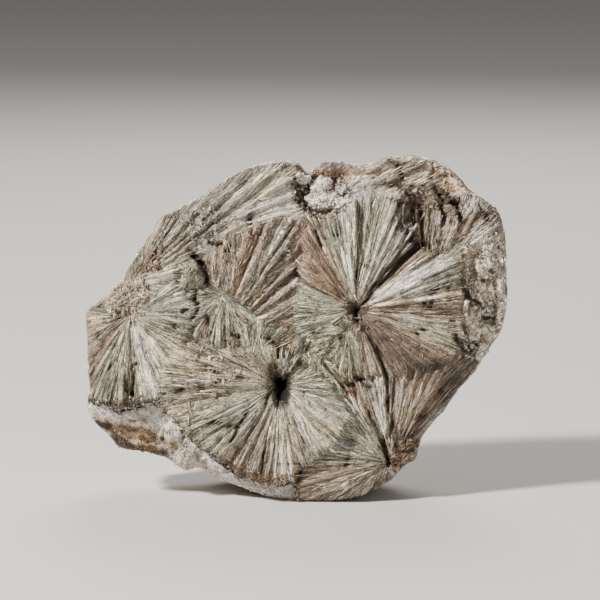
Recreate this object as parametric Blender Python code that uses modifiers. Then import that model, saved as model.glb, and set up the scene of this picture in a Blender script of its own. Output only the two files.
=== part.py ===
"""Pyrophyllite specimen: rosettes of radiating crystals grown over a rind of pale host rock.

The specimen is laid out on its broad front face. A place on the face is (u, v) in millimetres: u runs to
the right and v runs up the face from the edge it stands on. A height is measured out of the face, from the
waist that runs round the edge, so the back of the specimen has heights below zero. The face leans back a
little. The finished objects are in metres, +Z up, with the front towards -Y.
"""

import math
from collections import namedtuple

import bmesh
import bpy
import numpy as np
from mathutils import Vector, noise
from mathutils.geometry import delaunay_2d_cdt

MM = 0.001

# Driving dimensions, in millimetres and radians
LEAN = math.radians(8)
CENTRE_U = -0.85
CENTRE_DEPTH = 13.29
FACE_HEIGHT = 9.0
FACE_EDGE_WIDTH = 7.0
BACK_DEPTH = 30.0
BACK_EDGE_WIDTH = 15.0
EDGE_POWER = 2.2
WAIST_WANDER = 2.0
CRUMPLE = 1.1
CRUMPLE_SIZE = 7.0
CRUMPLE_V_OFFSET = Vector((31.4, 0.0, 0.0))
CRUMPLE_HEIGHT_OFFSET = Vector((0.0, 47.2, 0.0))

# Random bumps: height and size in millimetres, and a seed
MATRIX_BUMPS = (0.9, 5.0, 3.0)
BREAK_BUMPS = (1.2, 2.0, 8.0)
BACK_BUMPS = (1.6, 9.0, 5.0)
BACK_SMALL_BUMPS = (0.8, 4.0, 6.0)

# The blades of the sprays: ranges of width and height against the mean, and where they split in two
BLADE_WIDTH_RANGE = (0.55, 1.45)
BLADE_RIDGE_RANGE = (0.2, 1.0)
ANGLE_SEED = 1
RIDGE_SEED = 2
SPLIT_RADIUS = 11.0
SPLIT_START = 0.9
COARSE_LOSS = 0.6
FULL_RIDGE_RADIUS = 8.0
APEX_RIDGE = 0.1

# Spacing of the mesh's corners
OUTLINE_STEPS = 2
STATION_SPACING = 4.4
FIRST_STATIONS = (1.2, 2.4, 5.0)
RIM_FADE_WIDTH = 3.0
WALL_SHARES = (0.2, 0.4, 0.58, 0.76, 0.9)
WALL_LEAST_SHARE = 0.9
FRONT_FILLER_SPACING = 3.5
BACK_FILLER_SPACING = 5.0
FILLER_CLEARANCE = 0.55
FILLER_JITTER = 0.35
FRONT_SEED = 1
BACK_SEED = 2
LEAST_SPACING = 0.45
RIM_TOLERANCE = 1e-3
CDT_TOLERANCE = 1e-4
RIM_CLEARANCE = 1.0
POCKET_CLEARANCE = 0.8
STEP_HALF_WIDTH = 0.25
BORDER_SPACING = 2.8
CUT_SPACING = 2.0
LUMP_SIDES = 7
LUMP_RING = 0.6
WELD_DISTANCE = 1e-5
CUT_TOLERANCE = 1e-7

SEAM_GAP = 0.35
SEAM_TEETH = 0.45
SEAM_TOOTH_LENGTH = 1.6
SEAM_RUN_BACK = (0.32, 0.52)
SEAM_STRAIGHT_BELOW = 1.0
MATRIX_STEP_DOWN = 2.4

CRUST_GAP = 0.3
CRUST_INSET = 1.2
CRUST_THICKNESS = 1.2
CRUST_CRYSTAL_HEIGHT = 2.6
CRUST_CRYSTAL_SPACING = 1.5
CRUST_EDGE = 0.5
CRUST_SEED = 5

# The outline that the front shows, from the left point anticlockwise round the lower edge
OUTLINE = (
    (-53.5, 45.2), (-53.2, 37.8), (-53.0, 30.2), (-52.5, 26.0), (-53.5, 23.5), (-53.0, 20.5), (-51.0, 18.0),
    (-48.5, 15.5), (-46.0, 12.5), (-42.5, 11.2), (-37.5, 10.5), (-33.5, 9.2), (-30.5, 7.0), (-28.0, 6.0),
    (-25.5, 7.0), (-22.0, 4.8), (-17.5, 3.0), (-12.0, 1.0), (-6.2, -0.8), (0.0, -1.8), (7.5, -1.8),
    (14.0, -0.8), (19.5, 2.0), (23.0, 4.5), (26.0, 7.8), (28.8, 9.2), (30.2, 14.0), (32.5, 17.5),
    (36.5, 22.0), (39.5, 26.5), (44.0, 31.5), (47.5, 37.0), (49.8, 40.5), (51.2, 44.5), (51.8, 49.0),
    (51.5, 57.8), (51.2, 64.0), (50.0, 70.0), (48.0, 72.8), (44.5, 75.0), (42.0, 76.8), (40.5, 79.0),
    (37.5, 81.8), (33.5, 84.0), (28.0, 85.2), (23.0, 85.0), (19.0, 83.5), (15.0, 83.0), (11.0, 83.5),
    (7.0, 84.0), (4.5, 83.2), (2.8, 81.5), (1.5, 81.0), (0.0, 82.8), (-2.5, 83.8), (-7.5, 83.5),
    (-12.5, 82.2), (-17.0, 80.2), (-22.0, 77.0), (-27.0, 73.5), (-32.0, 71.0), (-35.5, 68.8),
    (-37.5, 65.5), (-40.5, 61.0), (-43.0, 57.0), (-45.5, 53.0), (-49.0, 49.8), (-51.5, 47.8),
)

# One spray of crystals. Its blades run out from the apex and show inside the edge, over the sprays listed
# before it. lift raises the spray, slope tilts it in u and v, a pit sinks its apex, blades is the count for
# a full turn and ridge is how far the blades stand up and down.
Fan = namedtuple("Fan", "name apex lift slope pit pit_radius blades ridge edge")

FRONT_FANS = (
    Fan("upper", (-41.8, 52.8), -1.0, (0.04, -0.05), 0.0, 1.0, 70, 0.7, (
        (-54, 46), (-54, 60), (-30, 86), (0.6, 86), (1.2, 76.5), (-1, 69), (-9.5, 67), (-15, 65.5), (-21, 64),
        (-23.2, 58.5), (-27.5, 58.5), (-29, 52.8), (-37.5, 51.5), (-45.5, 49))),
    Fan("back layer", (7.5, 66.5), -4.5, (0.0, -0.12), 0.0, 1.0, 60, 0.5, (
        (0.6, 86), (3, 78.5), (8.8, 75), (12.5, 75.2), (18.5, 77.2), (30, 77.2), (35, 76.2), (40.5, 74.5),
        (46, 80), (30, 90))),
    Fan("ledge", (30.0, 54.0), -2.8, (-0.05, 0.0), 0.0, 1.0, 60, 0.6, (
        (40.5, 58.5), (41.5, 61.5), (43.8, 65.2), (54, 68.5), (54, 38), (46, 29), (41, 36.5), (42, 44),
        (40.5, 51.5))),
    Fan("spur", (35.0, 56.5), -1.6, (0.0, 0.0), 0.0, 1.0, 70, 0.6, (
        (37.5, 73), (40.5, 74.5), (46, 80), (54, 74), (54, 64), (43.8, 64), (41.5, 60.2), (38.8, 67.8))),
    Fan("middle", (-21.2, 37.8), 0.2, (0.0, 0.0), 0.0, 1.0, 60, 0.7, (
        (-23.2, 58.5), (-21, 64), (-9.5, 67), (-1, 69), (1.8, 67.8), (0.3, 64), (1.4, 59.5), (-0.8, 55.5),
        (0.6, 51.5), (-2.5, 46), (-6.2, 41.5), (-9.5, 42.8), (-10.5, 47), (-15, 49), (-19.5, 52),
        (-22.5, 54))),
    Fan("left", (-42.0, 45.5), 0.4, (0.03, 0.0), 1.2, 2.5, 44, 0.8, (
        (-56, 45), (-50.8, 47.5), (-45, 49), (-37.5, 51.5), (-30, 52.8), (-27.5, 51.5), (-26, 47.8),
        (-26.5, 41.5), (-29, 37.8), (-32, 31), (-34.5, 25), (-38.8, 23.5), (-45, 22.2), (-49.2, 23.5),
        (-56, 24.5))),
    Fan("corner", (22.0, 9.0), -0.4, (0.0, 0.0), 2.0, 2.5, 52, 0.7, (
        (11.2, 25.2), (13, 27.8), (18.8, 30), (28, 31), (35, 33.5), (41, 36.5), (48, 29), (34, 10), (20, -4),
        (-1, -4), (-0.5, 1), (-0.8, 4.8), (0, 7.8), (4.5, 10.2), (10, 14), (13, 19))),
    Fan("strips", (31.0, 51.5), -0.6, (0.0, -0.1), 0.0, 1.0, 80, 0.8, (
        (25.5, 71), (27.5, 72.8), (36.5, 72.8), (37.5, 67.8), (35.5, 60), (30, 61), (27.5, 62.8))),
    Fan("right", (13.8, 46.5), 1.6, (0.0, 0.0), 3.0, 2.6, 56, 0.9, (
        (-0.8, 55.5), (1.2, 60), (0.2, 64), (1.8, 70.2), (7.5, 72), (11.2, 74), (15.5, 76), (21.2, 76.8),
        (25.5, 75.8), (26.5, 71), (28.5, 62.8), (35, 60.8), (40.5, 58.5), (41.5, 49), (41.5, 39),
        (35, 33.5), (28, 31), (22.5, 30), (14.2, 31), (8.8, 36.5), (4.5, 41.5), (-1.8, 46.5), (0.8, 51.5))),
    Fan("ear", (-19.5, 50.0), 0.8, (0.0, 0.0), 0.0, 1.0, 52, 0.6, (
        (-25.8, 51), (-22.5, 54), (-19.5, 52), (-15, 49), (-11.2, 44.5), (-12.5, 41), (-17, 37.8),
        (-22.5, 37), (-25.5, 40.2), (-26.2, 46.5))),
    Fan("small tuft", (-12.0, 34.0), 1.2, (0.0, 0.0), 0.0, 1.0, 48, 0.5, (
        (-15, 42.8), (-12.5, 44.5), (-8, 43.5), (-4.5, 41.5), (-5.5, 37.8), (-9.5, 36), (-13, 36))),
    Fan("dark tuft", (12.0, 41.2), 0.9, (0.0, 0.0), 0.0, 1.0, 52, 0.5, (
        (6.2, 42.8), (12.5, 43.5), (15.5, 37.8), (15.5, 31), (12.5, 29), (9.5, 31.5), (6.2, 35.2), (4, 37))),
    Fan("lower", (-5.0, 27.8), 2.6, (0.0, 0.02), 7.0, 2.4, 56, 0.9, (
        (-33.8, 34), (-29.2, 37.8), (-23.8, 38.2), (-18.8, 36.5), (-13.8, 36), (-9.5, 37.8), (-3.8, 36),
        (0, 34), (5, 31), (11.2, 25.2), (13, 19), (10, 14), (4.5, 10.2), (0, 7.8), (-2.5, 5), (-7, 4),
        (-11.2, 4.5), (-15.5, 6.5), (-19.5, 9), (-24.2, 12.5), (-28.8, 17), (-32.5, 21.5), (-35, 24.5))),
    Fan("pebble tuft", (3.0, 36.5), 2.0, (0.0, 0.0), 0.0, 1.0, 48, 0.5, (
        (3, 37), (5.5, 36.5), (10, 31), (12.5, 25.8), (9.5, 26), (5.5, 29.5), (3, 33.5))),
)

BACK_FANS = (
    Fan("back upper", (-12.0, 58.0), 0.0, (0.0, 0.0), 1.5, 3.0, 44, 0.9, (
        (-40, 58), (-30, 72), (-10, 80), (8, 72), (12, 56), (2, 44), (-16, 42), (-32, 46))),
    Fan("back right", (26.0, 46.0), 0.6, (0.0, 0.0), 1.5, 3.0, 44, 0.9, (
        (4, 50), (12, 64), (26, 72), (42, 64), (46, 48), (40, 34), (24, 26), (8, 34))),
)

# Flat breaks of the back: depth behind the waist at the middle of the face, and its slopes in u and v
BACK_BREAKS = (
    (29.0, 0.06, -0.05),
    (33.0, 0.34, 0.08),
    (34.0, -0.33, 0.10),
    (35.0, 0.05, -0.42),
    (41.0, -0.05, 0.33),
)
FACE_MIDDLE_V = 43.0

# The boundary between the crystals and the host rock, from the left edge to the lower one
SEAM = (
    (-60.0, 23.8), (-53.5, 24.0), (-48.8, 23.0), (-45.0, 21.8), (-38.8, 22.8), (-35.0, 24.2), (-32.5, 21.0),
    (-28.8, 16.5), (-24.2, 12.2), (-19.5, 8.8), (-15.0, 5.8), (-10.5, 3.8), (-6.2, 3.2), (-2.0, 4.2),
    (-0.5, 2.0), (-1.0, -3.5), (-1.0, -12.0),
)
SEAM_FRONT = 40.0
SEAM_BACK = -55.0

# The hollow of the notch, whose floor is flat: height at its middle, and its slopes in u and v
POCKET = (
    (-1.2, 79.5), (1.5, 79.8), (4.5, 80.2), (8.0, 78.4), (11.8, 76.0), (11.2, 72.3), (7.0, 69.8), (2.2, 70.4),
    (-1.0, 73.6),
)
POCKET_MIDDLE = (5.0, 75.0)
POCKET_FLOOR = (3.6, 0.05, -0.22)

# The dark hollow where the upper rim of the right rosette has broken away
BREAK_HOLLOW = ((25.5, 75.8), (30.0, 77.0), (35.0, 76.0), (38.5, 73.5), (36.5, 72.0), (27.5, 72.2))
BREAK_DEPTH = 3.5

# Cuts along which the crystals have parted: points, half width and depth
CUTS = (
    (((19.5, 53.8), (25.5, 59.3), (30.5, 63.0)), 0.9, 2.2),
    (((-27.6, 61.0), (-23.9, 58.2), (-22.6, 52.2)), 1.0, 2.6),
    (((-26.3, 51.2), (-25.9, 45.5), (-26.2, 41.0)), 0.8, 1.6),
    (((21.0, 15.0), (21.4, 11.5), (21.8, 8.2)), 0.8, 2.0),
    (((17.2, 47.5), (19.6, 53.8)), 0.7, 1.8),
    (((-6.2, 33.0), (-5.8, 27.8), (-5.0, 23.5)), 1.3, 3.0),
)

# Rounded lumps that stand out of the face or the host rock: place, radius and height
LUMPS = (
    ((-26.4, 55.6), 3.4, 2.4),
    ((0.1, 37.8), 1.9, 1.3),
    ((6.0, 80.8), 2.6, 2.4),
    ((0.0, 81.6), 2.0, 1.6),
    ((-28.8, 9.0), 3.2, 2.6),
    ((23.0, 6.0), 2.6, 1.0),
    ((-47.0, 20.0), 3.0, 1.2),
)

CRYSTAL_COLOUR = (0.36, 0.31, 0.25, 1.0)
MATRIX_COLOUR = (0.47, 0.41, 0.36, 1.0)
CRUST_COLOUR = (0.62, 0.57, 0.50, 1.0)


def clear_scene():
    """Remove the objects that the file holds."""
    for obj in list(bpy.data.objects):
        bpy.data.objects.remove(obj, do_unlink=True)


def make_collection(name):
    """A new collection in the scene."""
    collection = bpy.data.collections.new(name)
    bpy.context.scene.collection.children.link(collection)
    return collection


def make_material(name, colour, roughness):
    """A Principled material."""
    material = bpy.data.materials.new(name)
    material.use_nodes = True
    shader = material.node_tree.nodes["Principled BSDF"]
    shader.inputs["Base Color"].default_value = colour
    shader.inputs["Roughness"].default_value = roughness
    shader.inputs["Metallic"].default_value = 0.0
    return material


def make_object(name, mesh_data, collection, material=None):
    """An object in a collection, from a bmesh that is used up."""
    mesh = bpy.data.meshes.new(name)
    mesh_data.to_mesh(mesh)
    mesh_data.free()
    obj = bpy.data.objects.new(name, mesh)
    collection.objects.link(obj)
    if material:
        mesh.materials.append(material)
    return obj


def smooth_loop(points, steps):
    """Closed Catmull-Rom curve through points, with so many steps from one to the next."""
    here = np.array(points, float)
    before, after, beyond = np.roll(here, 1, 0), np.roll(here, -1, 0), np.roll(here, -2, 0)
    curve = []
    for t in np.arange(steps) / steps:
        cubic = 3 * (here - after) + beyond - before
        square = 2 * before - 5 * here + 4 * after - beyond
        curve.append(here + 0.5 * t * (after - before + t * (square + t * cubic)))
    return np.stack(curve, axis=1).reshape(-1, 2)


def resample(points, spacing, closed=False):
    """Points along a line of straight runs, evenly spaced at about the spacing."""
    line = np.array(points, float)
    if closed:
        line = np.vstack([line, line[:1]])
    lengths = np.concatenate([[0], np.cumsum(np.hypot(*np.diff(line, axis=0).T))])
    count = max(2, int(round(lengths[-1] / spacing)) + 1)
    at = np.linspace(0, lengths[-1], count)
    if closed:
        at = at[:-1]
    return np.column_stack([np.interp(at, lengths, line[:, 0]), np.interp(at, lengths, line[:, 1])])


def inside(places, loop):
    """Whether each place lies inside a closed loop."""
    u, v = places[:, 0], places[:, 1]
    result = np.zeros(len(places), bool)
    for (u0, v0), (u1, v1) in zip(loop, np.roll(loop, -1, 0)):
        if v0 != v1:
            crosses = (v0 > v) != (v1 > v)
            result ^= crosses & (u < u0 + (u1 - u0) * (v - v0) / (v1 - v0))
    return result


def line_distance(places, line, closed=False):
    """Distance from each place to a line of straight runs."""
    line = np.array(line, float)
    ends = np.roll(line, -1, 0) if closed else line[1:]
    nearest = np.full(len(places), np.inf)
    for start, end in zip(line, ends):
        run = end - start
        along = np.clip((places - start) @ run / max(run @ run, 1e-9), 0, 1)
        nearest = np.minimum(nearest, np.hypot(*(places - start - along[:, None] * run).T))
    return nearest


def bumps(places, shape):
    """Smooth random bumps over the face, from their height, their size and a seed."""
    height, size, seed = shape
    return height * np.array([noise.noise(Vector((u / size, v / size, seed))) for u, v in places])


def sideways(line, closed=False):
    """Unit vectors to the left of a line, one at each of its points."""
    run = np.roll(line, -1, 0) - np.roll(line, 1, 0) if closed else np.gradient(line, axis=0)
    return np.column_stack([-run[:, 1], run[:, 0]]) / np.hypot(*run.T)[:, None]


OUTLINE_LOOP = smooth_loop(OUTLINE, OUTLINE_STEPS)
MATRIX_LOOP = np.array(SEAM + ((-60.0, -12.0),))
POCKET_LOOP = np.array(POCKET)
BREAK_LOOP = np.array(BREAK_HOLLOW)


def edge_rounding(distance, width):
    """How far the surface has come up, from 0 at the outline to 1 at the width from it."""
    share = np.clip(distance / width, 0, 1)
    return (1 - (1 - share) ** EDGE_POWER) ** (1 / EDGE_POWER)


def waist(places):
    """Height of the line where the front meets the back, which wanders round the edge."""
    u, v = places.T
    return WAIST_WANDER * (np.sin(u / 15 + 1) * np.cos(v / 21) + 0.5 * np.sin(v / 9 + u / 30))


def blade_angles(fan, count):
    """Uneven angles of a fan's blade edges round a full turn."""
    rng = np.random.default_rng((len(fan.name), count, ANGLE_SEED))
    widths = rng.uniform(*BLADE_WIDTH_RANGE, count)
    return 2 * math.pi * np.cumsum(widths) / widths.sum() - math.pi


def blade_ridges(fan, count):
    """Height of each blade edge: up and down in turn, some of them far more than others."""
    rng = np.random.default_rng((len(fan.name), count, RIDGE_SEED))
    turn = np.where(np.arange(count) % 2, 1.0, -1.0)
    return fan.ridge * turn * rng.uniform(*BLADE_RIDGE_RANGE, count)


def fan_height(fan, places):
    """Height of one fan over the face. Past a radius its blades split in two."""
    out = places - np.array(fan.apex)
    radius = np.hypot(out[:, 0], out[:, 1])
    angle = np.arctan2(out[:, 1], out[:, 0])
    coarse, fine = (
        np.interp(angle, blade_angles(fan, count), blade_ridges(fan, count), period=2 * math.pi)
        for count in (fan.blades, 2 * fan.blades)
    )
    split = np.clip(radius / SPLIT_RADIUS - SPLIT_START, 0, 1)
    near = np.clip(radius / FULL_RIDGE_RADIUS, APEX_RIDGE, 1)
    ridge = (coarse * (1 - COARSE_LOSS * split) + fine * split) * near
    pit = fan.pit * np.exp(-((radius / fan.pit_radius) ** 2))
    return fan.lift + out @ np.array(fan.slope) - pit + ridge


def fan_owner(fans, places):
    """Number of the fan that shows at each place, or -1."""
    owner = np.full(len(places), -1)
    for number, fan in enumerate(fans):
        owner[inside(places, np.array(fan.edge, float))] = number
    return owner


def front_owner(places):
    """Number of the front fan at each place, or -1 on the host rock and in the hollows."""
    owner = fan_owner(FRONT_FANS, places)
    owner[inside(places, MATRIX_LOOP)] = -1
    owner[inside(places, POCKET_LOOP)] = -1
    owner[inside(places, BREAK_LOOP)] = -1
    return owner


def back_owner(places):
    """Number of the back fan at each place, or -1."""
    return fan_owner(BACK_FANS, places)


def pocket_floor(places):
    """Height of the flat floor of the notch's hollow."""
    middle, slope_u, slope_v = POCKET_FLOOR
    u, v = (places - np.array(POCKET_MIDDLE)).T
    return middle + slope_u * u + slope_v * v


def front_height(places):
    """Height of the front surface over the face."""
    rim = line_distance(places, OUTLINE_LOOP, closed=True)
    relief = np.zeros(len(places))
    owner = front_owner(places)
    for number, fan in enumerate(FRONT_FANS):
        mine = owner == number
        relief[mine] = fan_height(fan, places[mine])
    rock = inside(places, MATRIX_LOOP)
    relief[rock] = bumps(places[rock], MATRIX_BUMPS) - MATRIX_STEP_DOWN
    broken = inside(places, BREAK_LOOP)
    relief[broken] = bumps(places[broken], BREAK_BUMPS) - BREAK_DEPTH
    for line, half_width, depth in CUTS:
        relief -= depth * np.clip(1 - line_distance(places, line) / half_width, 0, 1)
    for place, radius, height in LUMPS:
        share = np.hypot(*(places - np.array(place)).T) / radius
        relief += height * np.sqrt(np.clip(1 - share**2, 0, 1))
    height = FACE_HEIGHT * edge_rounding(rim, FACE_EDGE_WIDTH)
    height += relief * np.clip(rim / RIM_FADE_WIDTH, 0, 1)
    pocket = inside(places, POCKET_LOOP)
    height[pocket] = pocket_floor(places[pocket]) - waist(places[pocket])
    height[rim < RIM_TOLERANCE] = 0
    return height + waist(places)


def back_height(places):
    """Height of the back surface, which is below zero."""
    rim = line_distance(places, OUTLINE_LOOP, closed=True)
    u, v = places.T
    depth = BACK_DEPTH * edge_rounding(rim, BACK_EDGE_WIDTH)
    for middle, slope_u, slope_v in BACK_BREAKS:
        depth = np.minimum(depth, middle + slope_u * u + slope_v * (v - FACE_MIDDLE_V))
    relief = bumps(places, BACK_BUMPS) + bumps(places, BACK_SMALL_BUMPS)
    owner = back_owner(places)
    for number, fan in enumerate(BACK_FANS):
        mine = owner == number
        relief[mine] = fan_height(fan, places[mine])
    height = -(depth + relief * np.clip(rim / RIM_FADE_WIDTH, 0, 1))
    height[rim < RIM_TOLERANCE] = 0
    return height + waist(places)


def fan_rays(fan):
    """Stations along each blade edge of a fan, and along those of the blades that split off further out."""
    reach = max(np.hypot(*(np.array(fan.edge, float) - np.array(fan.apex)).T))
    further = np.arange(FIRST_STATIONS[-1] + STATION_SPACING, reach, STATION_SPACING)
    radii = np.concatenate([FIRST_STATIONS, further])
    # every second edge starts further out, so that blades don't crowd at the apex
    angles = blade_angles(fan, fan.blades)
    starts = [(angle, FIRST_STATIONS[2 * (turn % 2)]) for turn, angle in enumerate(angles)]
    starts += [(angle, SPLIT_RADIUS) for angle in blade_angles(fan, 2 * fan.blades)[::2]]
    for angle, start in starts:
        along = radii[radii >= start]
        if len(along) > 1:
            yield np.array(fan.apex) + along[:, None] * np.array([math.cos(angle), math.sin(angle)])


def fan_stations(fans, find_owner):
    """Places along every blade edge where its fan shows, and the pairs that follow one another."""
    places, pairs = [], []
    for number, fan in enumerate(fans):
        taken = np.zeros((0, 2))
        for ray in fan_rays(fan):
            shows = (find_owner(ray) == number) & inside(ray, OUTLINE_LOOP)
            shows &= line_distance(ray, OUTLINE_LOOP, closed=True) > RIM_CLEARANCE
            shows &= line_distance(ray, POCKET_LOOP, closed=True) > POCKET_CLEARANCE
            if len(taken):
                shows &= np.array([np.hypot(*(taken - place).T).min() > LEAST_SPACING for place in ray])
            joins = find_owner((ray[:-1] + ray[1:]) / 2) == number
            for place in np.flatnonzero(shows):
                if place and shows[place - 1] and joins[place - 1]:
                    pairs.append((len(places) - 1, len(places)))
                places.append(ray[place])
            taken = np.vstack([taken, ray[shows]])
    return places, pairs


def border_places(loop):
    """Places just inside and just outside a loop, so that the surface steps there."""
    line = resample(loop, BORDER_SPACING, closed=True)
    step = STEP_HALF_WIDTH * sideways(line, closed=True)
    return np.vstack([line + step, line - step])


def cut_places(line, half_width):
    """Places along a cut and on both its lips."""
    middle = resample(line, CUT_SPACING)
    lip = half_width * sideways(middle)
    return np.vstack([middle, middle + lip, middle - lip])


def wall_places():
    """Rings behind the waist, spaced evenly down the side wall."""
    rings = []
    for turn, share in enumerate(WALL_SHARES):
        inset = BACK_EDGE_WIDTH * (1 - (1 - share**EDGE_POWER) ** (1 / EDGE_POWER))
        # the rings get shorter towards the back, so they need fewer points
        ring = (OUTLINE_LOOP + inset * sideways(OUTLINE_LOOP, closed=True))[turn % 2 :: 1 + turn // 2]
        rings.append(ring[line_distance(ring, OUTLINE_LOOP, closed=True) > WALL_LEAST_SHARE * inset])
    return np.vstack(rings)


def lump_places(place, radius):
    """Places over a lump: its top, a ring half way down and a ring round its foot."""
    turns = np.arange(LUMP_SIDES) * 2 * math.pi / LUMP_SIDES
    ring = radius * np.column_stack([np.cos(turns), np.sin(turns)])
    return np.array(place) + np.vstack([[(0, 0)], LUMP_RING * ring, ring])


def filler_places(spacing, seed):
    """A loose grid over the whole outline."""
    rng = np.random.default_rng(seed)
    low, high = OUTLINE_LOOP.min(0), OUTLINE_LOOP.max(0)
    grid = np.mgrid[low[0] : high[0] : spacing, low[1] : high[1] : spacing].reshape(2, -1).T
    return grid + rng.uniform(-FILLER_JITTER, FILLER_JITTER, grid.shape) * spacing


def keep_apart(places, taken, least):
    """The places that lie further than this from all the taken ones."""
    taken = np.array(taken)
    gaps = np.array([np.hypot(*(taken - place).T).min() for place in places])
    return places[gaps > least]


def fill_between(stations, extras, spacing, seed):
    """The extra places that keep clear of the stations, and a loose grid over what they leave open."""
    found = []
    for extra in extras:
        found += list(keep_apart(extra, stations + found, LEAST_SPACING))
    filler = clear_of_rim(filler_places(spacing, seed))
    return found + list(keep_apart(filler, stations + found, FILLER_CLEARANCE * spacing))


def clear_of_rim(places):
    """The places inside the outline that keep their distance from it."""
    clear = line_distance(places, OUTLINE_LOOP, closed=True) > RIM_CLEARANCE
    return places[clear & inside(places, OUTLINE_LOOP)]


def triangulate(loop, places, pairs):
    """Constrained triangles over a loop, with the places and pairs kept as corners and edges."""
    count = len(loop)
    points = [Vector(place) for place in loop] + [Vector(place) for place in places]
    edges = [(i, (i + 1) % count) for i in range(count)]
    edges += [(a + count, b + count) for a, b in pairs]
    inside_only = 1
    found = delaunay_2d_cdt(points, edges, [list(range(count))], inside_only, CDT_TOLERANCE)
    return np.array([tuple(place) for place in found[0]]), found[2]


def set_place(u, v, height):
    """The point in space, in metres, of a place on the leaning face. Behind the waist it is crumpled."""
    spot = Vector((u, v, height)) / CRUMPLE_SIZE
    amount = CRUMPLE * min(max(-height / CRUMPLE_SIZE, 0), 1)
    u += amount * noise.noise(spot)
    v += amount * noise.noise(spot + CRUMPLE_V_OFFSET)
    height += amount * noise.noise(spot + CRUMPLE_HEIGHT_OFFSET)
    y = v * math.sin(LEAN) - height * math.cos(LEAN) - CENTRE_DEPTH
    z = v * math.cos(LEAN) + height * math.sin(LEAN)
    return Vector(((u - CENTRE_U) * MM, y * MM, z * MM))


def add_sheet(mesh_data, places, triangles, heights, outwards):
    """Add a triangulated sheet; outwards is 1 if it faces the front and -1 if it faces the back."""
    corners = [mesh_data.verts.new(set_place(u, v, height)) for (u, v), height in zip(places, heights)]
    for triangle in triangles:
        first, second, third = places[triangle]
        turned = np.cross(second - first, third - first)
        order = triangle if turned * outwards > 0 else triangle[::-1]
        mesh_data.faces.new([corners[i] for i in order])


def cut_flat_below(mesh_data):
    """Cut away what lies under the floor and close the cut, which is the face the specimen rests on."""
    parts = mesh_data.verts[:] + mesh_data.edges[:] + mesh_data.faces[:]
    cut = bmesh.ops.bisect_plane(
        mesh_data, geom=parts, dist=CUT_TOLERANCE, plane_co=(0, 0, 0), plane_no=(0, 0, -1), clear_outer=True
    )
    edges = [part for part in cut["geom_cut"] if isinstance(part, bmesh.types.BMEdge)]
    bmesh.ops.edgenet_fill(mesh_data, edges=edges)


def whole_specimen(collection):
    """Crystals and host rock as one closed body, cut flat where it rests."""
    stations, pairs = fan_stations(FRONT_FANS, front_owner)
    loops = [POCKET_LOOP, BREAK_LOOP] + [fan.edge for fan in FRONT_FANS]
    extras = [clear_of_rim(border_places(loop)) for loop in loops]
    extras += [clear_of_rim(cut_places(line, half_width)) for line, half_width, depth in CUTS]
    extras += [clear_of_rim(lump_places(place, radius)) for place, radius, height in LUMPS]
    between = fill_between(stations, extras, FRONT_FILLER_SPACING, FRONT_SEED)
    places, triangles = triangulate(OUTLINE_LOOP, stations + between, pairs)

    back_stations, back_pairs = fan_stations(BACK_FANS, back_owner)
    back_between = fill_between(back_stations, [wall_places()], BACK_FILLER_SPACING, BACK_SEED)
    back_places, back_triangles = triangulate(OUTLINE_LOOP, back_stations + back_between, back_pairs)

    mesh_data = bmesh.new()
    add_sheet(mesh_data, places, triangles, front_height(places), 1)
    add_sheet(mesh_data, back_places, back_triangles, back_height(back_places), -1)
    bmesh.ops.remove_doubles(mesh_data, verts=mesh_data.verts, dist=WELD_DISTANCE)
    cut_flat_below(mesh_data)
    bmesh.ops.triangulate(mesh_data, faces=mesh_data.faces)
    return make_object("pyrophyllite_rosettes", mesh_data, collection)


def seam_cutter(collection):
    """A thin toothed sheet that parts the crystals from the host rock, and runs up behind them."""
    line = resample(SEAM, SEAM_TOOTH_LENGTH)
    line += sideways(line) * np.where(np.arange(len(line)) % 2, SEAM_TEETH, -SEAM_TEETH)[:, None]
    mesh_data = bmesh.new()
    rows = []
    for height in (SEAM_FRONT, SEAM_STRAIGHT_BELOW, SEAM_BACK):
        back = max(0.0, SEAM_STRAIGHT_BELOW - height)
        shifted = line + back * np.array(SEAM_RUN_BACK)
        rows.append([mesh_data.verts.new(set_place(u, v, height)) for u, v in shifted])
    for front, behind in zip(rows, rows[1:]):
        for i in range(len(line) - 1):
            mesh_data.faces.new((front[i], front[i + 1], behind[i + 1], behind[i]))
    cutter = make_object("seam_cutter", mesh_data, collection)
    cutter.hide_render = True
    cutter.display_type = "WIRE"
    solid = cutter.modifiers.new("thickness", "SOLIDIFY")
    solid.thickness = SEAM_GAP * MM
    solid.offset = 0
    return cutter


def part_at_seam(specimen, cutter, crystal_material, matrix_material):
    """Cut the specimen along the seam into its crystals and its host rock."""
    cut = specimen.modifiers.new("seam", "BOOLEAN")
    cut.operation = "DIFFERENCE"
    cut.object = cutter
    bpy.context.view_layer.objects.active = specimen
    specimen.select_set(True)
    bpy.ops.object.modifier_apply(modifier=cut.name)
    bpy.ops.mesh.separate(type="LOOSE")
    bodies = sorted(bpy.context.selected_objects, key=lambda body: -len(body.data.polygons))
    for crumb in bodies[2:]:
        bpy.data.objects.remove(crumb, do_unlink=True)
    materials = (crystal_material, matrix_material)
    for body, name, material in zip(bodies, ("pyrophyllite_rosettes", "matrix_rind"), materials):
        body.name = name
        body.data.materials.clear()
        body.data.materials.append(material)


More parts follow.
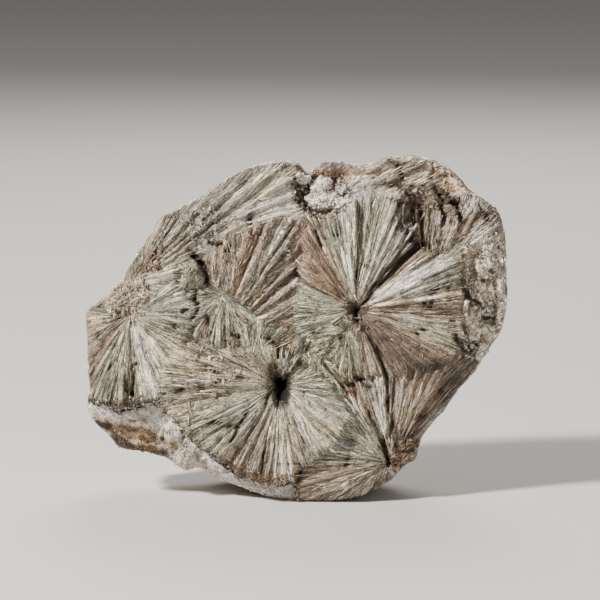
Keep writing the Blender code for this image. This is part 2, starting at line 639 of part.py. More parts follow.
def notch_crust(collection, material):
    """The crust of small crystals on the flat floor of the notch's hollow."""
    middle = POCKET_LOOP.mean(0)
    reach = np.hypot(*(POCKET_LOOP - middle).T)[:, None]
    shrunk = middle + (POCKET_LOOP - middle) * (1 - CRUST_INSET / reach)
    loop = resample(shrunk, CRUST_CRYSTAL_SPACING, closed=True)
    rng = np.random.default_rng(CRUST_SEED)
    grid = filler_places(CRUST_CRYSTAL_SPACING, CRUST_SEED)
    grid = grid[inside(grid, loop)]
    grid = grid[line_distance(grid, loop, closed=True) > CRUST_EDGE]
    places, triangles = triangulate(loop, grid, [])
    on_edge = line_distance(places, loop, closed=True) < RIM_TOLERANCE
    thickness = CRUST_THICKNESS + CRUST_CRYSTAL_HEIGHT * rng.uniform(0, 1, len(places))
    thickness[on_edge] = CRUST_EDGE
    floor = pocket_floor(places) + CRUST_GAP
    mesh_data = bmesh.new()
    add_sheet(mesh_data, places, triangles, floor + thickness, 1)
    add_sheet(mesh_data, places, triangles, floor, -1)
    bmesh.ops.bridge_loops(mesh_data, edges=[edge for edge in mesh_data.edges if edge.is_boundary])
    bmesh.ops.triangulate(mesh_data, faces=mesh_data.faces)
    bmesh.ops.recalc_face_normals(mesh_data, faces=mesh_data.faces)
    return make_object("notch_crystals", mesh_data, collection, material)


def main():
    """Build the specimen."""
    clear_scene()
    parts = make_collection("pyrophyllite_specimen")
    cutters = make_collection("cutters")
    crystal_material = make_material("pyrophyllite", CRYSTAL_COLOUR, 0.55)
    matrix_material = make_material("matrix", MATRIX_COLOUR, 0.85)
    crust_material = make_material("crust", CRUST_COLOUR, 0.6)
    part_at_seam(whole_specimen(parts), seam_cutter(cutters), crystal_material, matrix_material)
    notch_crust(parts, crust_material)


main()
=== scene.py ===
"""Looks of the pyrophyllite specimen: thin laths, broken chips and grains over bodies of the CAD form.

The specimen is laid out on its broad front face, as in the CAD source. A place on the face is (u, v) in
millimetres: u runs to the right and v runs up the face. A height is measured out of the face from the waist
that runs round the edge, so the back has heights below zero. The face leans back a little.
"""

import math
from collections import namedtuple

import bmesh
import bpy
import numpy as np
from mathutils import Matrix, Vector, noise
from mathutils.bvhtree import BVHTree
from mathutils.geometry import delaunay_2d_cdt


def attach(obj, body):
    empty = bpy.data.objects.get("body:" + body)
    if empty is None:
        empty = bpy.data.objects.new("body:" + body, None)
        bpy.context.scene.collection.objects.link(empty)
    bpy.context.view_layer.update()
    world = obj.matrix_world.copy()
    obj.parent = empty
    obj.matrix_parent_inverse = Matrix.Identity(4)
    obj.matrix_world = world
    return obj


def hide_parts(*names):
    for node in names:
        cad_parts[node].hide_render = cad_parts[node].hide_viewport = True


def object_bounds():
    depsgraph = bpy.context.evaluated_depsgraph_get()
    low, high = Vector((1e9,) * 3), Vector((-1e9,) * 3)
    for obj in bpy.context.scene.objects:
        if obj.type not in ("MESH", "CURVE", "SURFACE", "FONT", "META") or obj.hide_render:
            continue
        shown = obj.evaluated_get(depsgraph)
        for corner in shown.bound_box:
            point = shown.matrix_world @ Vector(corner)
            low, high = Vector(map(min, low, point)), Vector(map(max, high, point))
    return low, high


MM = 0.001
TINY = 1e-9

# Grid on which slow measures of the face are taken, and how far the visual model stays inside the CAD box
FIELD_STEP = 0.2
FIELD_MARGIN = 3.0
LAST_CELL = 1.001
BOX_INSET = 0.00005

# Colours, linear
BEIGE = (0.40, 0.345, 0.265)
PALE = (0.54, 0.49, 0.41)
BROWN = (0.17, 0.115, 0.08)
UMBER = (0.075, 0.05, 0.034)
DARK = (0.045, 0.032, 0.025)
BLACK = (0.014, 0.010, 0.008)
# Pearly white: partly the crystals' pale colour and partly a painted pearly sheen where faces catch the light
PEARL_WHITE_AND_SHEEN = (0.74, 0.70, 0.65)
GREEN_GREY = (0.30, 0.30, 0.225)
PINK_BROWN = (0.31, 0.22, 0.15)
RUST = (0.42, 0.24, 0.11)
CREAM = (0.62, 0.52, 0.38)
BLUE_GREY = (0.43, 0.435, 0.45)
MATRIX_PALE = (0.60, 0.545, 0.485)
CRUST_WHITE = (0.74, 0.69, 0.63)
# Painted shade in the gaps between laths: the crystals' body under the laths is darkened by this tone and
# tint
GAP_SHADE_TONE = 0.4
GAP_SHADE_TINT = (1.0, 0.88, 0.78)
PLAIN_STONE = (0.38, 0.33, 0.265)
CRUST_DUST = (0.40, 0.33, 0.25)
DUSTY_CRYSTAL = (0.42, 0.33, 0.24)
ROCK_SHADE = 0.9
DARKEST = 0.004
LIGHTEST = 0.92
BODY_LIGHTEST = 0.9

# Soft stains: strength, offset, most cover, size in millimetres, seed and colour
Stain = namedtuple("Stain", "strength offset most size seed colour")
PLAIN_STAIN = Stain(1.6, 0.0, 0.7, 9.0, 73.0, (0.30, 0.20, 0.125))
RIND_STAIN = Stain(1.5, 0.0, 0.6, 9.0, 73.0, (0.33, 0.23, 0.15))
ROCK_STAIN = Stain(2.0, 0.2, 0.45, 6.0, 77.0, RUST)
GRAIN_STAIN = Stain(2.4, 0.0, 0.4, 6.0, 96.0, RUST)

# Tones of the blades: strength, turns round the apex, length along the blades and a seed
BLADE_TONES = ((0.5, 8, 22, 1.5), (1.0, 26, 30, 5.5), (1.15, 70, 18, 9.5))
BLADE_HUE = (11, 14, 13.5)
HUE_SHIFT = (0.10, 0.0, -0.12)
PATCH_SHARE = 0.6

# The form of the CAD solids, in millimetres and radians
LEAN = math.radians(8)
CENTRE_U = -0.85
CENTRE_DEPTH = 13.29
FACE_HEIGHT = 9.0
FACE_EDGE_WIDTH = 7.0
BACK_DEPTH = 30.0
BACK_EDGE_WIDTH = 15.0
EDGE_POWER = 2.2
WAIST_WANDER = 2.0
CRUMPLE = 1.1
CRUMPLE_SIZE = 7.0
CRUMPLE_V_OFFSET = Vector((31.4, 0.0, 0.0))
CRUMPLE_HEIGHT_OFFSET = Vector((0.0, 47.2, 0.0))
SEAM_GAP = 0.35
SEAM_TEETH = 0.45
SEAM_TOOTH_LENGTH = 1.1
SEAM_CRUMB_SPACING = 0.055
SEAM_CRUMB_SPREAD = 0.38
SEAM_RUN_BACK = (0.32, 0.52)
SEAM_STRAIGHT_BELOW = 1.0
SEAM_FRONT = 40.0
SEAM_BACK = -55.0
SEAM_SEED = 61
SEAM_BUMPS = ((1.2, 2.3, 62.0),)
MATRIX_STEP_DOWN = 2.4
FRONT_LIMIT = 11.8
SQUEEZE = 0.15
BREAK_DEPTH = 3.5
RIM_FADE_WIDTH = 3.0
RIM_TOLERANCE = 1e-3

# Blades of the sprays
BLADE_WIDTH_RANGE = (0.55, 1.45)
BLADE_RIDGE_RANGE = (0.2, 1.0)
ANGLE_SEED = 1
RIDGE_SEED = 2
STEP_SEED = 3
SPLIT_RADIUS = 11.0
SPLIT_START = 0.9
COARSE_LOSS = 0.6
FULL_RIDGE_RADIUS = 8.0
APEX_RIDGE = 0.1
STEP_COUNT = 3
STEP_REACH = (4.0, 30.0)
STEP_HEIGHT = 0.42
STEP_RUN = 0.4
RIDGE_SHARE = 0.38
SECTOR_RADIUS = 12.0
SECTOR_SHARE = 0.75
FAN_BLEND = 2.4
FRAY = ((4.5, 1.7, 81.0), (1.5, 0.8, 83.0))
RAGGED_SHARE = 0.45

# Random bumps: height and size in millimetres, and a seed
MATRIX_BUMPS = ((1.1, 5.0, 3.0), (0.65, 1.8, 4.0), (0.4, 0.8, 5.5))
BREAK_BUMPS = ((1.2, 2.0, 8.0), (0.6, 0.9, 9.0))
BACK_BUMPS = ((1.6, 9.0, 5.0), (0.8, 4.0, 6.0), (0.5, 1.7, 7.0))
FACE_BUMPS = ((0.45, 4.5, 11.0), (0.3, 2.2, 12.0), (0.14, 0.9, 13.0))
ROUGH_BUMPS = ((1.1, 4.5, 14.0), (0.7, 1.8, 15.0), (0.4, 0.8, 16.0))

# Random tones: strength and size in millimetres, and a seed
PATCHY_TONES = ((0.22, 6.0, 41.0), (0.2, 2.2, 42.0))
PLAIN_TONES = ((0.30, 4.0, 71.0), (0.22, 1.3, 72.0))
ROCK_TONES = ((0.20, 4.0, 75.0), (0.20, 1.0, 76.0))
MARK_FRAY = ((0.45, 1.3, 33.0), (0.35, 0.5, 34.0))
LEAST_FRAY = 0.2
MARK_STEEPNESS = 2.2
CUT_STEEPNESS = 1.4
STRONG_MARK = 0.75

# Spacing of the bodies' corners
OUTLINE_STEPS = 9
OUTLINE_SPACING = 0.75
OUTLINE_INSET = 0.22
OUTLINE_WANDER = ((0.28, 3.1, 21.0), (0.14, 1.1, 22.0))
FRONT_SPACING = 0.46
BACK_SPACING = 1.1
FRONT_RINGS = (0.1, 0.17, 0.24, 0.32)
BACK_RINGS = np.linspace(0.09, 0.96, 22)
RING_CLEARANCE = 0.93
SPARSE_INSET = 2.5
GRID_JITTER = 0.3
FRONT_CLEARANCE = 0.42
BACK_CLEARANCE = 0.6
FRONT_SEED = 51
BACK_SEED = 52
MERGE_PLACES = 1e-5
MERGE_CORNERS = 1e-6
CUT_TOLERANCE = 1e-8

OUTLINE = (
    (-53.5, 45.2), (-53.2, 37.8), (-53.0, 30.2), (-52.5, 26.0), (-53.5, 23.5), (-53.0, 20.5), (-51.0, 18.0),
    (-48.5, 15.5), (-46.0, 12.5), (-42.5, 11.2), (-37.5, 10.5), (-33.5, 9.2), (-30.5, 7.0), (-28.0, 6.0),
    (-25.5, 7.0), (-22.0, 4.8), (-17.5, 3.0), (-12.0, 1.0), (-6.2, -0.8), (0.0, -1.8), (7.5, -1.8),
    (14.0, -0.8), (19.5, 2.0), (23.0, 4.5), (26.0, 7.8), (28.8, 9.2), (30.2, 14.0), (32.5, 17.5),
    (36.5, 22.0), (39.5, 26.5), (44.0, 31.5), (47.5, 37.0), (49.8, 40.5), (51.2, 44.5), (51.8, 49.0),
    (51.5, 57.8), (51.2, 64.0), (50.0, 70.0), (48.0, 72.8), (44.5, 75.0), (42.0, 76.8), (40.5, 79.0),
    (37.5, 81.8), (33.5, 84.0), (28.0, 85.2), (23.0, 85.0), (19.0, 83.5), (15.0, 83.0), (11.0, 83.5),
    (7.0, 84.0), (4.5, 83.2), (2.8, 81.5), (1.5, 81.0), (0.0, 82.8), (-2.5, 83.8), (-7.5, 83.5),
    (-12.5, 82.2), (-17.0, 80.2), (-22.0, 77.0), (-27.0, 73.5), (-32.0, 71.0), (-35.5, 68.8),
    (-37.5, 65.5), (-40.5, 61.0), (-43.0, 57.0), (-45.5, 53.0), (-49.0, 49.8), (-51.5, 47.8),
)

# One spray of crystals. Its blades run out from the apex and show inside the edge, over the sprays listed
# before it. lift raises the spray, slope tilts it in u and v, a pit sinks its apex, blades is the count for
# a full turn and ridge is how far the blades stand up and down.
Fan = namedtuple("Fan", "name apex lift slope pit pit_radius blades ridge edge colour")

FRONT_FANS = (
    Fan("upper", (-41.8, 52.8), -1.0, (0.04, -0.05), 0.0, 1.0, 70, 0.7, (
        (-54, 46), (-54, 60), (-30, 86), (0.6, 86), (1.2, 76.5), (-1, 69), (-9.5, 67), (-15, 65.5), (-21, 64),
        (-23.2, 58.5), (-27.5, 58.5), (-29, 52.8), (-37.5, 51.5), (-45.5, 49)
    ), (0.40, 0.355, 0.28)),
    Fan("band", (-42.5, 58), -0.6, (0.0, 0.0), 0.0, 1.0, 90, 0.4, (
        (-15.5, 68), (-16, 70.75), (-8, 74.5), (0, 78), (0.5, 75), (-0.25, 67.5), (-9.5, 66.5), (-11.5, 67)
    ), (0.86, 0.79, 0.67)),
    Fan("back_layer", (-40.0, 42.0), -4.5, (0.0, -0.03), 0.0, 1.0, 190, 0.3, (
        (0.6, 86), (3, 78.5), (8.8, 75), (12.5, 75.2), (18.5, 77.2), (30, 77.2), (35, 76.2), (40.5, 74.5),
        (46, 80), (30, 90)
    ), (0.64, 0.56, 0.465)),
    Fan("ledge", (30.0, 54.0), -2.8, (-0.05, 0.0), 0.0, 1.0, 60, 0.6, (
        (40.5, 58.5), (41.5, 61.5), (43.8, 65.2), (54, 68.5), (54, 38), (46, 29), (41, 36.5), (42, 44),
        (40.5, 51.5)
    ), (0.58, 0.51, 0.43)),
    Fan("spur", (35.0, 56.5), -1.6, (0.0, 0.0), 0.0, 1.0, 70, 0.6, (
        (37.5, 73), (40.5, 74.5), (46, 80), (54, 74), (54, 64), (43.8, 64), (41.5, 60.2), (38.8, 67.8)
    ), (0.48, 0.42, 0.35)),
    Fan("middle", (-21.2, 37.8), 0.2, (0.0, 0.0), 0.0, 1.0, 60, 0.7, (
        (-23.2, 58.5), (-21, 64), (-9.5, 67), (-1, 69), (1.8, 67.8), (0.3, 64), (1.4, 59.5), (-0.8, 55.5),
        (0.6, 51.5), (-2.5, 46), (-6.2, 41.5), (-9.5, 42.8), (-10.5, 47), (-15, 49), (-19.5, 52), (-22.5, 54)
    ), (0.55, 0.42, 0.31)),
    Fan("left", (-42.0, 45.5), 0.4, (0.03, 0.0), 1.2, 2.5, 44, 0.8, (
        (-56, 45), (-50.8, 47.5), (-45, 49), (-37.5, 51.5), (-30, 52.8), (-27.5, 51.5), (-26, 47.8),
        (-26.5, 41.5), (-29, 37.8), (-32, 31), (-34.5, 25), (-38.8, 23.5), (-45, 22.2), (-49.2, 23.5),
        (-56, 24.5)
    ), (0.40, 0.36, 0.275)),
    Fan("corner", (22.0, 9.0), -0.4, (0.0, 0.0), 2.0, 2.5, 52, 0.7, (
        (11.2, 25.2), (13, 27.8), (18.8, 30), (28, 31), (35, 33.5), (41, 36.5), (48, 29), (34, 10), (20, -4),
        (-1, -4), (-0.5, 1), (-0.8, 4.8), (0, 7.8), (4.5, 10.2), (10, 14), (13, 19)
    ), (0.38, 0.325, 0.255)),
    Fan("strips", (31.0, 51.5), -0.6, (0.0, -0.1), 0.0, 1.0, 80, 0.8, (
        (25.5, 71), (27.5, 72.8), (36.5, 72.8), (37.5, 67.8), (35.5, 60), (30, 61), (27.5, 62.8)
    ), (0.30, 0.25, 0.19)),
    Fan("right", (13.8, 46.5), 1.6, (0.0, 0.0), 2.2, 1.7, 56, 0.9, (
        (-0.8, 55.5), (1.2, 60), (0.2, 64), (1.8, 70.2), (7.5, 72), (11.2, 74), (15.5, 76), (21.2, 76.8),
        (25.5, 75.8), (26.5, 71), (28.5, 62.8), (35, 60.8), (40.5, 58.5), (41.5, 49), (41.5, 39), (35, 33.5),
        (28, 31), (22.5, 30), (14.2, 31), (8.8, 36.5), (4.5, 41.5), (-1.8, 46.5), (0.8, 51.5)
    ), (0.41, 0.365, 0.285)),
    Fan("ear", (-19.5, 50.0), 0.8, (0.0, 0.0), 0.0, 1.0, 52, 0.6, (
        (-25.8, 51), (-22.5, 54), (-19.5, 52), (-15, 49), (-11.2, 44.5), (-12.5, 41), (-17, 37.8),
        (-22.5, 37), (-25.5, 40.2), (-26.2, 46.5)
    ), (0.27, 0.25, 0.18)),
    Fan("small_tuft", (-12.0, 34.0), 1.2, (0.0, 0.0), 0.0, 1.0, 48, 0.5, (
        (-15, 42.8), (-12.5, 44.5), (-8, 43.5), (-4.5, 41.5), (-5.5, 37.8), (-9.5, 36), (-13, 36)
    ), (0.33, 0.31, 0.23)),
    Fan("dark_tuft", (12.0, 41.2), 0.9, (0.0, 0.0), 0.0, 1.0, 52, 0.5, (
        (6.2, 42.8), (12.5, 43.5), (15.5, 37.8), (15.5, 31), (12.5, 29), (9.5, 31.5), (6.2, 35.2), (4, 37)
    ), (0.25, 0.23, 0.155)),
    Fan("lower", (-5.0, 27.8), 2.6, (0.0, 0.02), 7.0, 2.4, 56, 0.9, (
        (-33.8, 34), (-29.2, 37.8), (-23.8, 38.2), (-18.8, 36.5), (-13.8, 36), (-9.5, 37.8), (-3.8, 36),
        (0, 34), (5, 31), (11.2, 25.2), (13, 19), (10, 14), (4.5, 10.2), (0, 7.8), (-2.5, 5), (-7, 4),
        (-11.2, 4.5), (-15.5, 6.5), (-19.5, 9), (-24.2, 12.5), (-28.8, 17), (-32.5, 21.5), (-35, 24.5)
    ), (0.39, 0.355, 0.27)),
    Fan("pebble_tuft", (3.0, 36.5), 2.0, (0.0, 0.0), 0.0, 1.0, 48, 0.5, (
        (3, 37), (5.5, 36.5), (10, 31), (12.5, 25.8), (9.5, 26), (5.5, 29.5), (3, 33.5)
    ), (0.31, 0.29, 0.21)),
)

# Main sectors of a spray round its apex: angle in degrees, height at the full radius and colour
SECTORS = {
    "right": (
        (-180, 0.3, GREEN_GREY), (-150, 0.0, GREEN_GREY), (-120, -0.5, GREEN_GREY), (-90, -1.0, PINK_BROWN),
        (-75, -0.6, BEIGE), (-67, 0.4, BEIGE), (-65, -0.9, UMBER), (-58, -0.5, UMBER), (-40, 0.1, UMBER),
        (-33, 0.3, BROWN), (-26, 0.4, PINK_BROWN), (-20, 0.5, BEIGE), (-10, 0.9, BEIGE), (-3, 0.0, BROWN),
        (5, 0.4, BROWN),
        (8, 0.9, BEIGE), (20, 1.0, GREEN_GREY), (23, 1.7, PALE), (26, 1.5, PEARL_WHITE_AND_SHEEN), (32, 0.6, PEARL_WHITE_AND_SHEEN),
        # From 44 to 48 degrees the sunken wedge is partly brown and partly painted shade, in UMBER and BROWN
        (35, 0.2, BEIGE), (43, -0.3, PINK_BROWN), (44, -1.5, UMBER), (48, -1.3, BROWN), (50, 0.6, BEIGE),
        (53, 0.1, BROWN), (54, 1.0, PALE), (57, 0.3, BROWN), (58, 1.2, PALE), (63, 0.6, GREEN_GREY),
        (64, 1.2, PALE), (76, 0.3, GREEN_GREY), (84, 0.0, GREEN_GREY), (89, -0.6, BROWN), (90, 1.0, PALE),
        (96, 1.0, PALE), (106, 0.5, GREEN_GREY), (112, 0.2, BEIGE), (121, -0.3, PINK_BROWN),
        (123, 0.8, BEIGE), (127, 0.2, PINK_BROWN), (130, 0.8, BEIGE), (134, 0.2, PINK_BROWN),
        (146, 0.6, PINK_BROWN), (152, -0.6, BROWN), (154, 0.5, GREEN_GREY), (176, 0.3, GREEN_GREY),
    ),
    "lower": (
        (-180, 0.3, BEIGE), (-170, -0.2, BEIGE), (-163, 0.5, BEIGE), (-155, 0.9, GREEN_GREY),
        (-140, 0.7, GREEN_GREY), (-128, 1.0, BEIGE), (-122, -0.4, BROWN), (-120, 0.7, PALE),
        (-112, 0.2, BEIGE), (-106, 0.8, PALE), (-104, -0.2, PINK_BROWN), (-97, 0.5, PALE),
        (-95, -0.2, PINK_BROWN),
        (-92, 0.6, PALE), (-80, 0.3, BEIGE), (-70, 0.8, BEIGE), (-60, 0.2, PALE), (-50, 0.7, BEIGE),
        (-38, 0.2, GREEN_GREY), (-25, 0.8, PALE), (-12, 0.3, GREEN_GREY), (0, 0.8, PALE),
        (15, 0.2, GREEN_GREY), (30, 0.6, BEIGE), (45, -0.8, BROWN), (60, -0.6, BEIGE),
        (80, 0.2, GREEN_GREY),
        (100, 0.0, BEIGE), (120, 0.4, GREEN_GREY), (135, 0.0, BROWN), (150, 0.4, BEIGE), (165, -0.2, BEIGE),
    ),
    "left": (
        (-180, 0.4, BEIGE), (-140, 0.5, BEIGE), (-132, -0.3, BROWN), (-124, -0.1, BROWN),
        (-120, 0.6, BEIGE),
        (-112, 0.3, GREEN_GREY), (-100, 0.6, GREEN_GREY), (-92, 0.2, BEIGE), (-88, -0.5, DARK),
        (-86, 0.3, GREEN_GREY), (-76, 0.7, BEIGE), (-73, 1.2, PEARL_WHITE_AND_SHEEN), (-66, 0.8, PEARL_WHITE_AND_SHEEN), (-62, 0.2, PALE),
        (-50, 0.7, BEIGE), (-40, 0.2, GREEN_GREY), (-34, -0.4, BROWN), (-30, 0.6, BEIGE),
        (-20, 0.2, GREEN_GREY), (0, 0.6, GREEN_GREY), (20, 0.3, GREEN_GREY), (35, 0.5, PALE),
        (60, 0.0, BEIGE), (120, 0.3, BEIGE),
    ),
    "corner": (
        (-180, 0.0, BEIGE), (170, -0.4, GREEN_GREY), (160, 0.4, BEIGE), (150, -0.2, GREEN_GREY),
        (140, 0.5, PALE), (128, 0.0, GREEN_GREY), (120, 0.6, BEIGE), (112, -0.6, BROWN), (109, 0.7, BEIGE),
        (103, 0.2, PALE), (98, 0.7, PALE), (90, -0.2, BEIGE), (86, -0.8, DARK), (83, 0.5, BEIGE),
        (72, 0.8, PINK_BROWN), (64, 0.1, BEIGE), (58, 0.6, PINK_BROWN), (50, 0.0, BROWN), (42, 0.6, PALE),
        (35, -0.2, PINK_BROWN), (0, 0.0, PINK_BROWN),
    ),
    "upper": (
        (0, -0.2, PALE), (25, 0.3, PALE), (31, -0.4, PALE), (33, 0.6, CREAM), (37, 0.0, PALE),
        (39, 0.7, CREAM), (42, -0.2, PALE), (43, 0.6, PALE), (47, 0.0, BEIGE), (49, 0.7, CREAM),
        (54, 0.1, PALE), (57, 0.6, BEIGE), (62, -0.1, PINK_BROWN), (66, 0.4, BEIGE), (90, 0.0, BEIGE),
    ),
    "middle": (
        (0, 0.0, BEIGE), (20, 0.2, PINK_BROWN), (28, 0.6, BEIGE), (34, -0.2, BROWN), (38, 0.5, PALE),
        (43, -0.5, BROWN), (45, 0.5, BEIGE), (50, -0.3, PINK_BROWN), (54, 0.6, BEIGE),
        (60, 0.0, PALE), (64, 0.7, BEIGE), (68, -0.4, BROWN), (71, 0.6, PINK_BROWN), (78, 0.1, BEIGE),
        (90, 0.3, BEIGE),
    ),
    "ear": (
        (-180, 0.0, GREEN_GREY), (-135, 0.3, PALE), (-118, -0.5, BROWN), (-110, 0.6, BEIGE),
        (-100, 0.0, GREEN_GREY), (-92, 0.6, PALE), (-84, -0.3, BROWN), (-78, 0.5, BEIGE),
        (-60, 0.0, GREEN_GREY), (-50, 0.5, BEIGE), (-30, -0.3, GREEN_GREY), (60, 0.3, GREEN_GREY),
    ),
}

BACK_FANS = (
    Fan("back_upper", (-12.0, 58.0), 0.0, (0.0, 0.0), 1.5, 3.0, 44, 0.9, (
        (-40, 58), (-30, 72), (-10, 80), (8, 72), (12, 56), (2, 44), (-16, 42), (-32, 46)
    ), (0.38, 0.34, 0.27)),
    Fan("back_right", (26.0, 46.0), 0.6, (0.0, 0.0), 1.5, 3.0, 44, 0.9, (
        (4, 50), (12, 64), (26, 72), (42, 64), (46, 48), (40, 34), (24, 26), (8, 34)
    ), (0.38, 0.33, 0.26)),
)

# Flat breaks of the back: depth behind the waist at the middle of the face, and its slopes in u and v
BACK_BREAKS = (
    (29.0, 0.06, -0.05),
    (33.0, 0.34, 0.08),
    (34.0, -0.33, 0.10),
    (35.0, 0.05, -0.42),
    (41.0, -0.05, 0.33),
)
FACE_MIDDLE_V = 43.0

# The boundary between the crystals and the host rock, from the left edge to the lower one
SEAM = (
    (-60.0, 23.8), (-53.5, 24.0), (-48.8, 23.0), (-45.0, 21.8), (-38.8, 22.8), (-35.0, 24.2), (-32.5, 21.0),
    (-28.8, 16.5), (-24.2, 12.2), (-19.5, 8.8), (-15.0, 5.8), (-10.5, 3.8), (-6.2, 3.2), (-2.0, 4.2),
    (-0.5, 2.0), (-1.0, -3.5), (-1.0, -12.0),
)

# The hollow of the notch, whose floor is flat: height at its middle, and its slopes in u and v
POCKET = (
    (-1.2, 79.5), (1.5, 79.8), (4.5, 80.2), (8.0, 78.4), (11.8, 76.0), (11.2, 72.3), (7.0, 69.8),
        (2.2, 70.4),
    (-1.0, 73.6),
)
POCKET_MIDDLE = (5.0, 75.0)
POCKET_FLOOR = (3.6, 0.05, -0.22)

# The dark hollow where the upper rim of the right rosette has broken away
BREAK_HOLLOW = ((25.5, 75.8), (30.0, 77.0), (35.0, 76.0), (38.5, 73.5), (36.5, 72.0), (27.5, 72.2))

# Cuts along which the crystals have parted: points, half width and depth
CUTS = (
    (((19.5, 53.8), (25.5, 59.3), (30.5, 63.0)), 0.9, 2.2),
    (((-27.6, 61.0), (-25.0, 59.6), (-23.7, 57.4), (-23.2, 53.6)), 0.75, 2.4),
    (((-25.75, 51.5), (-26.25, 49.25), (-25.5, 46.75), (-27, 43.75), (-26.5, 40.5)), 0.4, 1.3),
    (((21.0, 15.0), (21.4, 11.5), (21.8, 8.2)), 0.8, 2.0),
    (((14, 45.5), (15, 47.5), (16.75, 49), (17.5, 52), (19.5, 54.5)), 0.55, 2.0),
    (((13.5, 47), (14.25, 43.5), (16.5, 41.5)), 0.6, 1.8),
    (((12.5, 48.5), (10, 49.75), (8.5, 51.5)), 0.4, 1.0),
    (((-6.2, 33.0), (-5.8, 27.8), (-5.0, 23.5)), 1.3, 3.0),
    (((40.25, 53.75), (42, 49.5), (45.25, 48)), 0.6, 1.8),
    (((37.5, 43.5), (38.75, 39.5), (41, 36.5)), 0.7, 1.7),
    (((24.5, 73), (25, 67), (28, 62.5)), 0.8, 1.8),
    (((30, 71), (30.25, 64.5)), 0.6, 1.6),
    (((35.25, 72.5), (35.5, 67.5)), 0.7, 2.0),
    (((38, 73), (39.5, 70)), 1.2, 2.4),
    (((33.5, 76.5), (36.5, 73.5)), 1.1, 2.2),
    (((-12.5, 70.75), (-12, 67.25)), 0.5, 1.8),
    (((-18, 36), (-15, 34)), 0.4, 0.9),
)

# Narrow cracks: points
CRACKS = (
    ((-41.5, 32.5), (-37.75, 35.25)),
    ((-17, 14), (-13, 21.5)),
    ((-22, 19), (-15.5, 17.75)),
    ((-23.75, 34), (-21.5, 31.75), (-19.5, 30.75)),
    ((23, 19), (23.5, 12.75)),
    ((17, 21.5), (19, 17.75), (20, 14)),
    ((19, 37.75), (21.5, 29.5), (22, 21.5)),
    ((39.5, 53.5), (42, 48.25), (43.75, 47.75)),
    ((40.5, 42.75), (42.5, 37.75)),
    ((36.25, 53.25), (37, 49)),
    ((42, 37.75), (43.75, 32.75)),
    ((6.25, 32.75), (12, 25.75)),
    ((23.75, 83.25), (25, 81), (25.75, 79)),
    ((-7.5, 26), (-8.5, 23)),
    ((-41, 31.5), (-41.5, 25)),
    ((4, 66), (5.25, 62.5), (5, 61.5)),
    ((-23, 26), (-19.5, 29.5)),
    ((-8.75, 12), (-9.5, 6.5)),
    ((0.5, 8.5), (0, 5), (-1.5, 2.5), (-1.75, -0.5)),
)
SMALL_CRACKS = 60
SMALL_CRACK_LENGTHS = (0.5, 2.0)
SMALL_CRACK_REGION = ((-50, 6), (50, 80))
SMALL_CRACK_BEND = 0.9
CRACK_SEED = 121
# The strength and reach of the crack marks are for black painted along every crack, as the shade inside it
CRACK_SHADE_STRENGTH = 0.85
CRACK_HALF_WIDTH = 0.5
CRACK_SHADE_REACH = 0.42
CRACK_CLEARANCE = 0.3
MOST_FRAY = 1.8
CRACK_DEPTH = 1.3

# Rounded lumps that stand out of the face or the host rock: place, radius and height
LUMPS = (
    ((-26.4, 55.6), 3.4, 2.4),
    ((0.1, 37.8), 1.9, 1.3),
    ((6.0, 80.8), 2.6, 2.4),
    ((0.0, 81.6), 2.0, 1.6),
    ((-28.8, 9.0), 3.2, 2.6),
    ((23.0, 6.0), 2.6, 1.0),
    ((-47.0, 20.0), 3.0, 1.2),
    ((42, 49), 1.6, 1.0),
    ((41.5, 44.5), 1.7, 1.1),
    ((42.75, 40), 2.0, 1.1),
    ((45.75, 37), 1.9, 1.3),
    ((46.25, 46), 3.2, -1.7),
    ((46, 57.5), 3.6, 1.0),
    ((49, 53), 2.2, 0.9),
    ((45, 67), 2.6, 0.9),
    ((47.5, 61.5), 1.8, 0.8),
    ((44, 61), 1.5, -0.9),
    ((48.5, 49), 1.5, -0.8),
    ((47, 41.5), 1.9, 0.9),
    ((50, 57), 1.3, -0.7),
    ((44.5, 53), 1.4, 0.8),
    ((-37, 11), 2.6, 0.9),
    ((-43, 15), 3.4, -1.2),
    ((-35, 15), 2.6, -1.0),
    ((-17, 4), 2.4, 1.0),
    ((-9.5, 1.5), 2.2, 0.8),
)
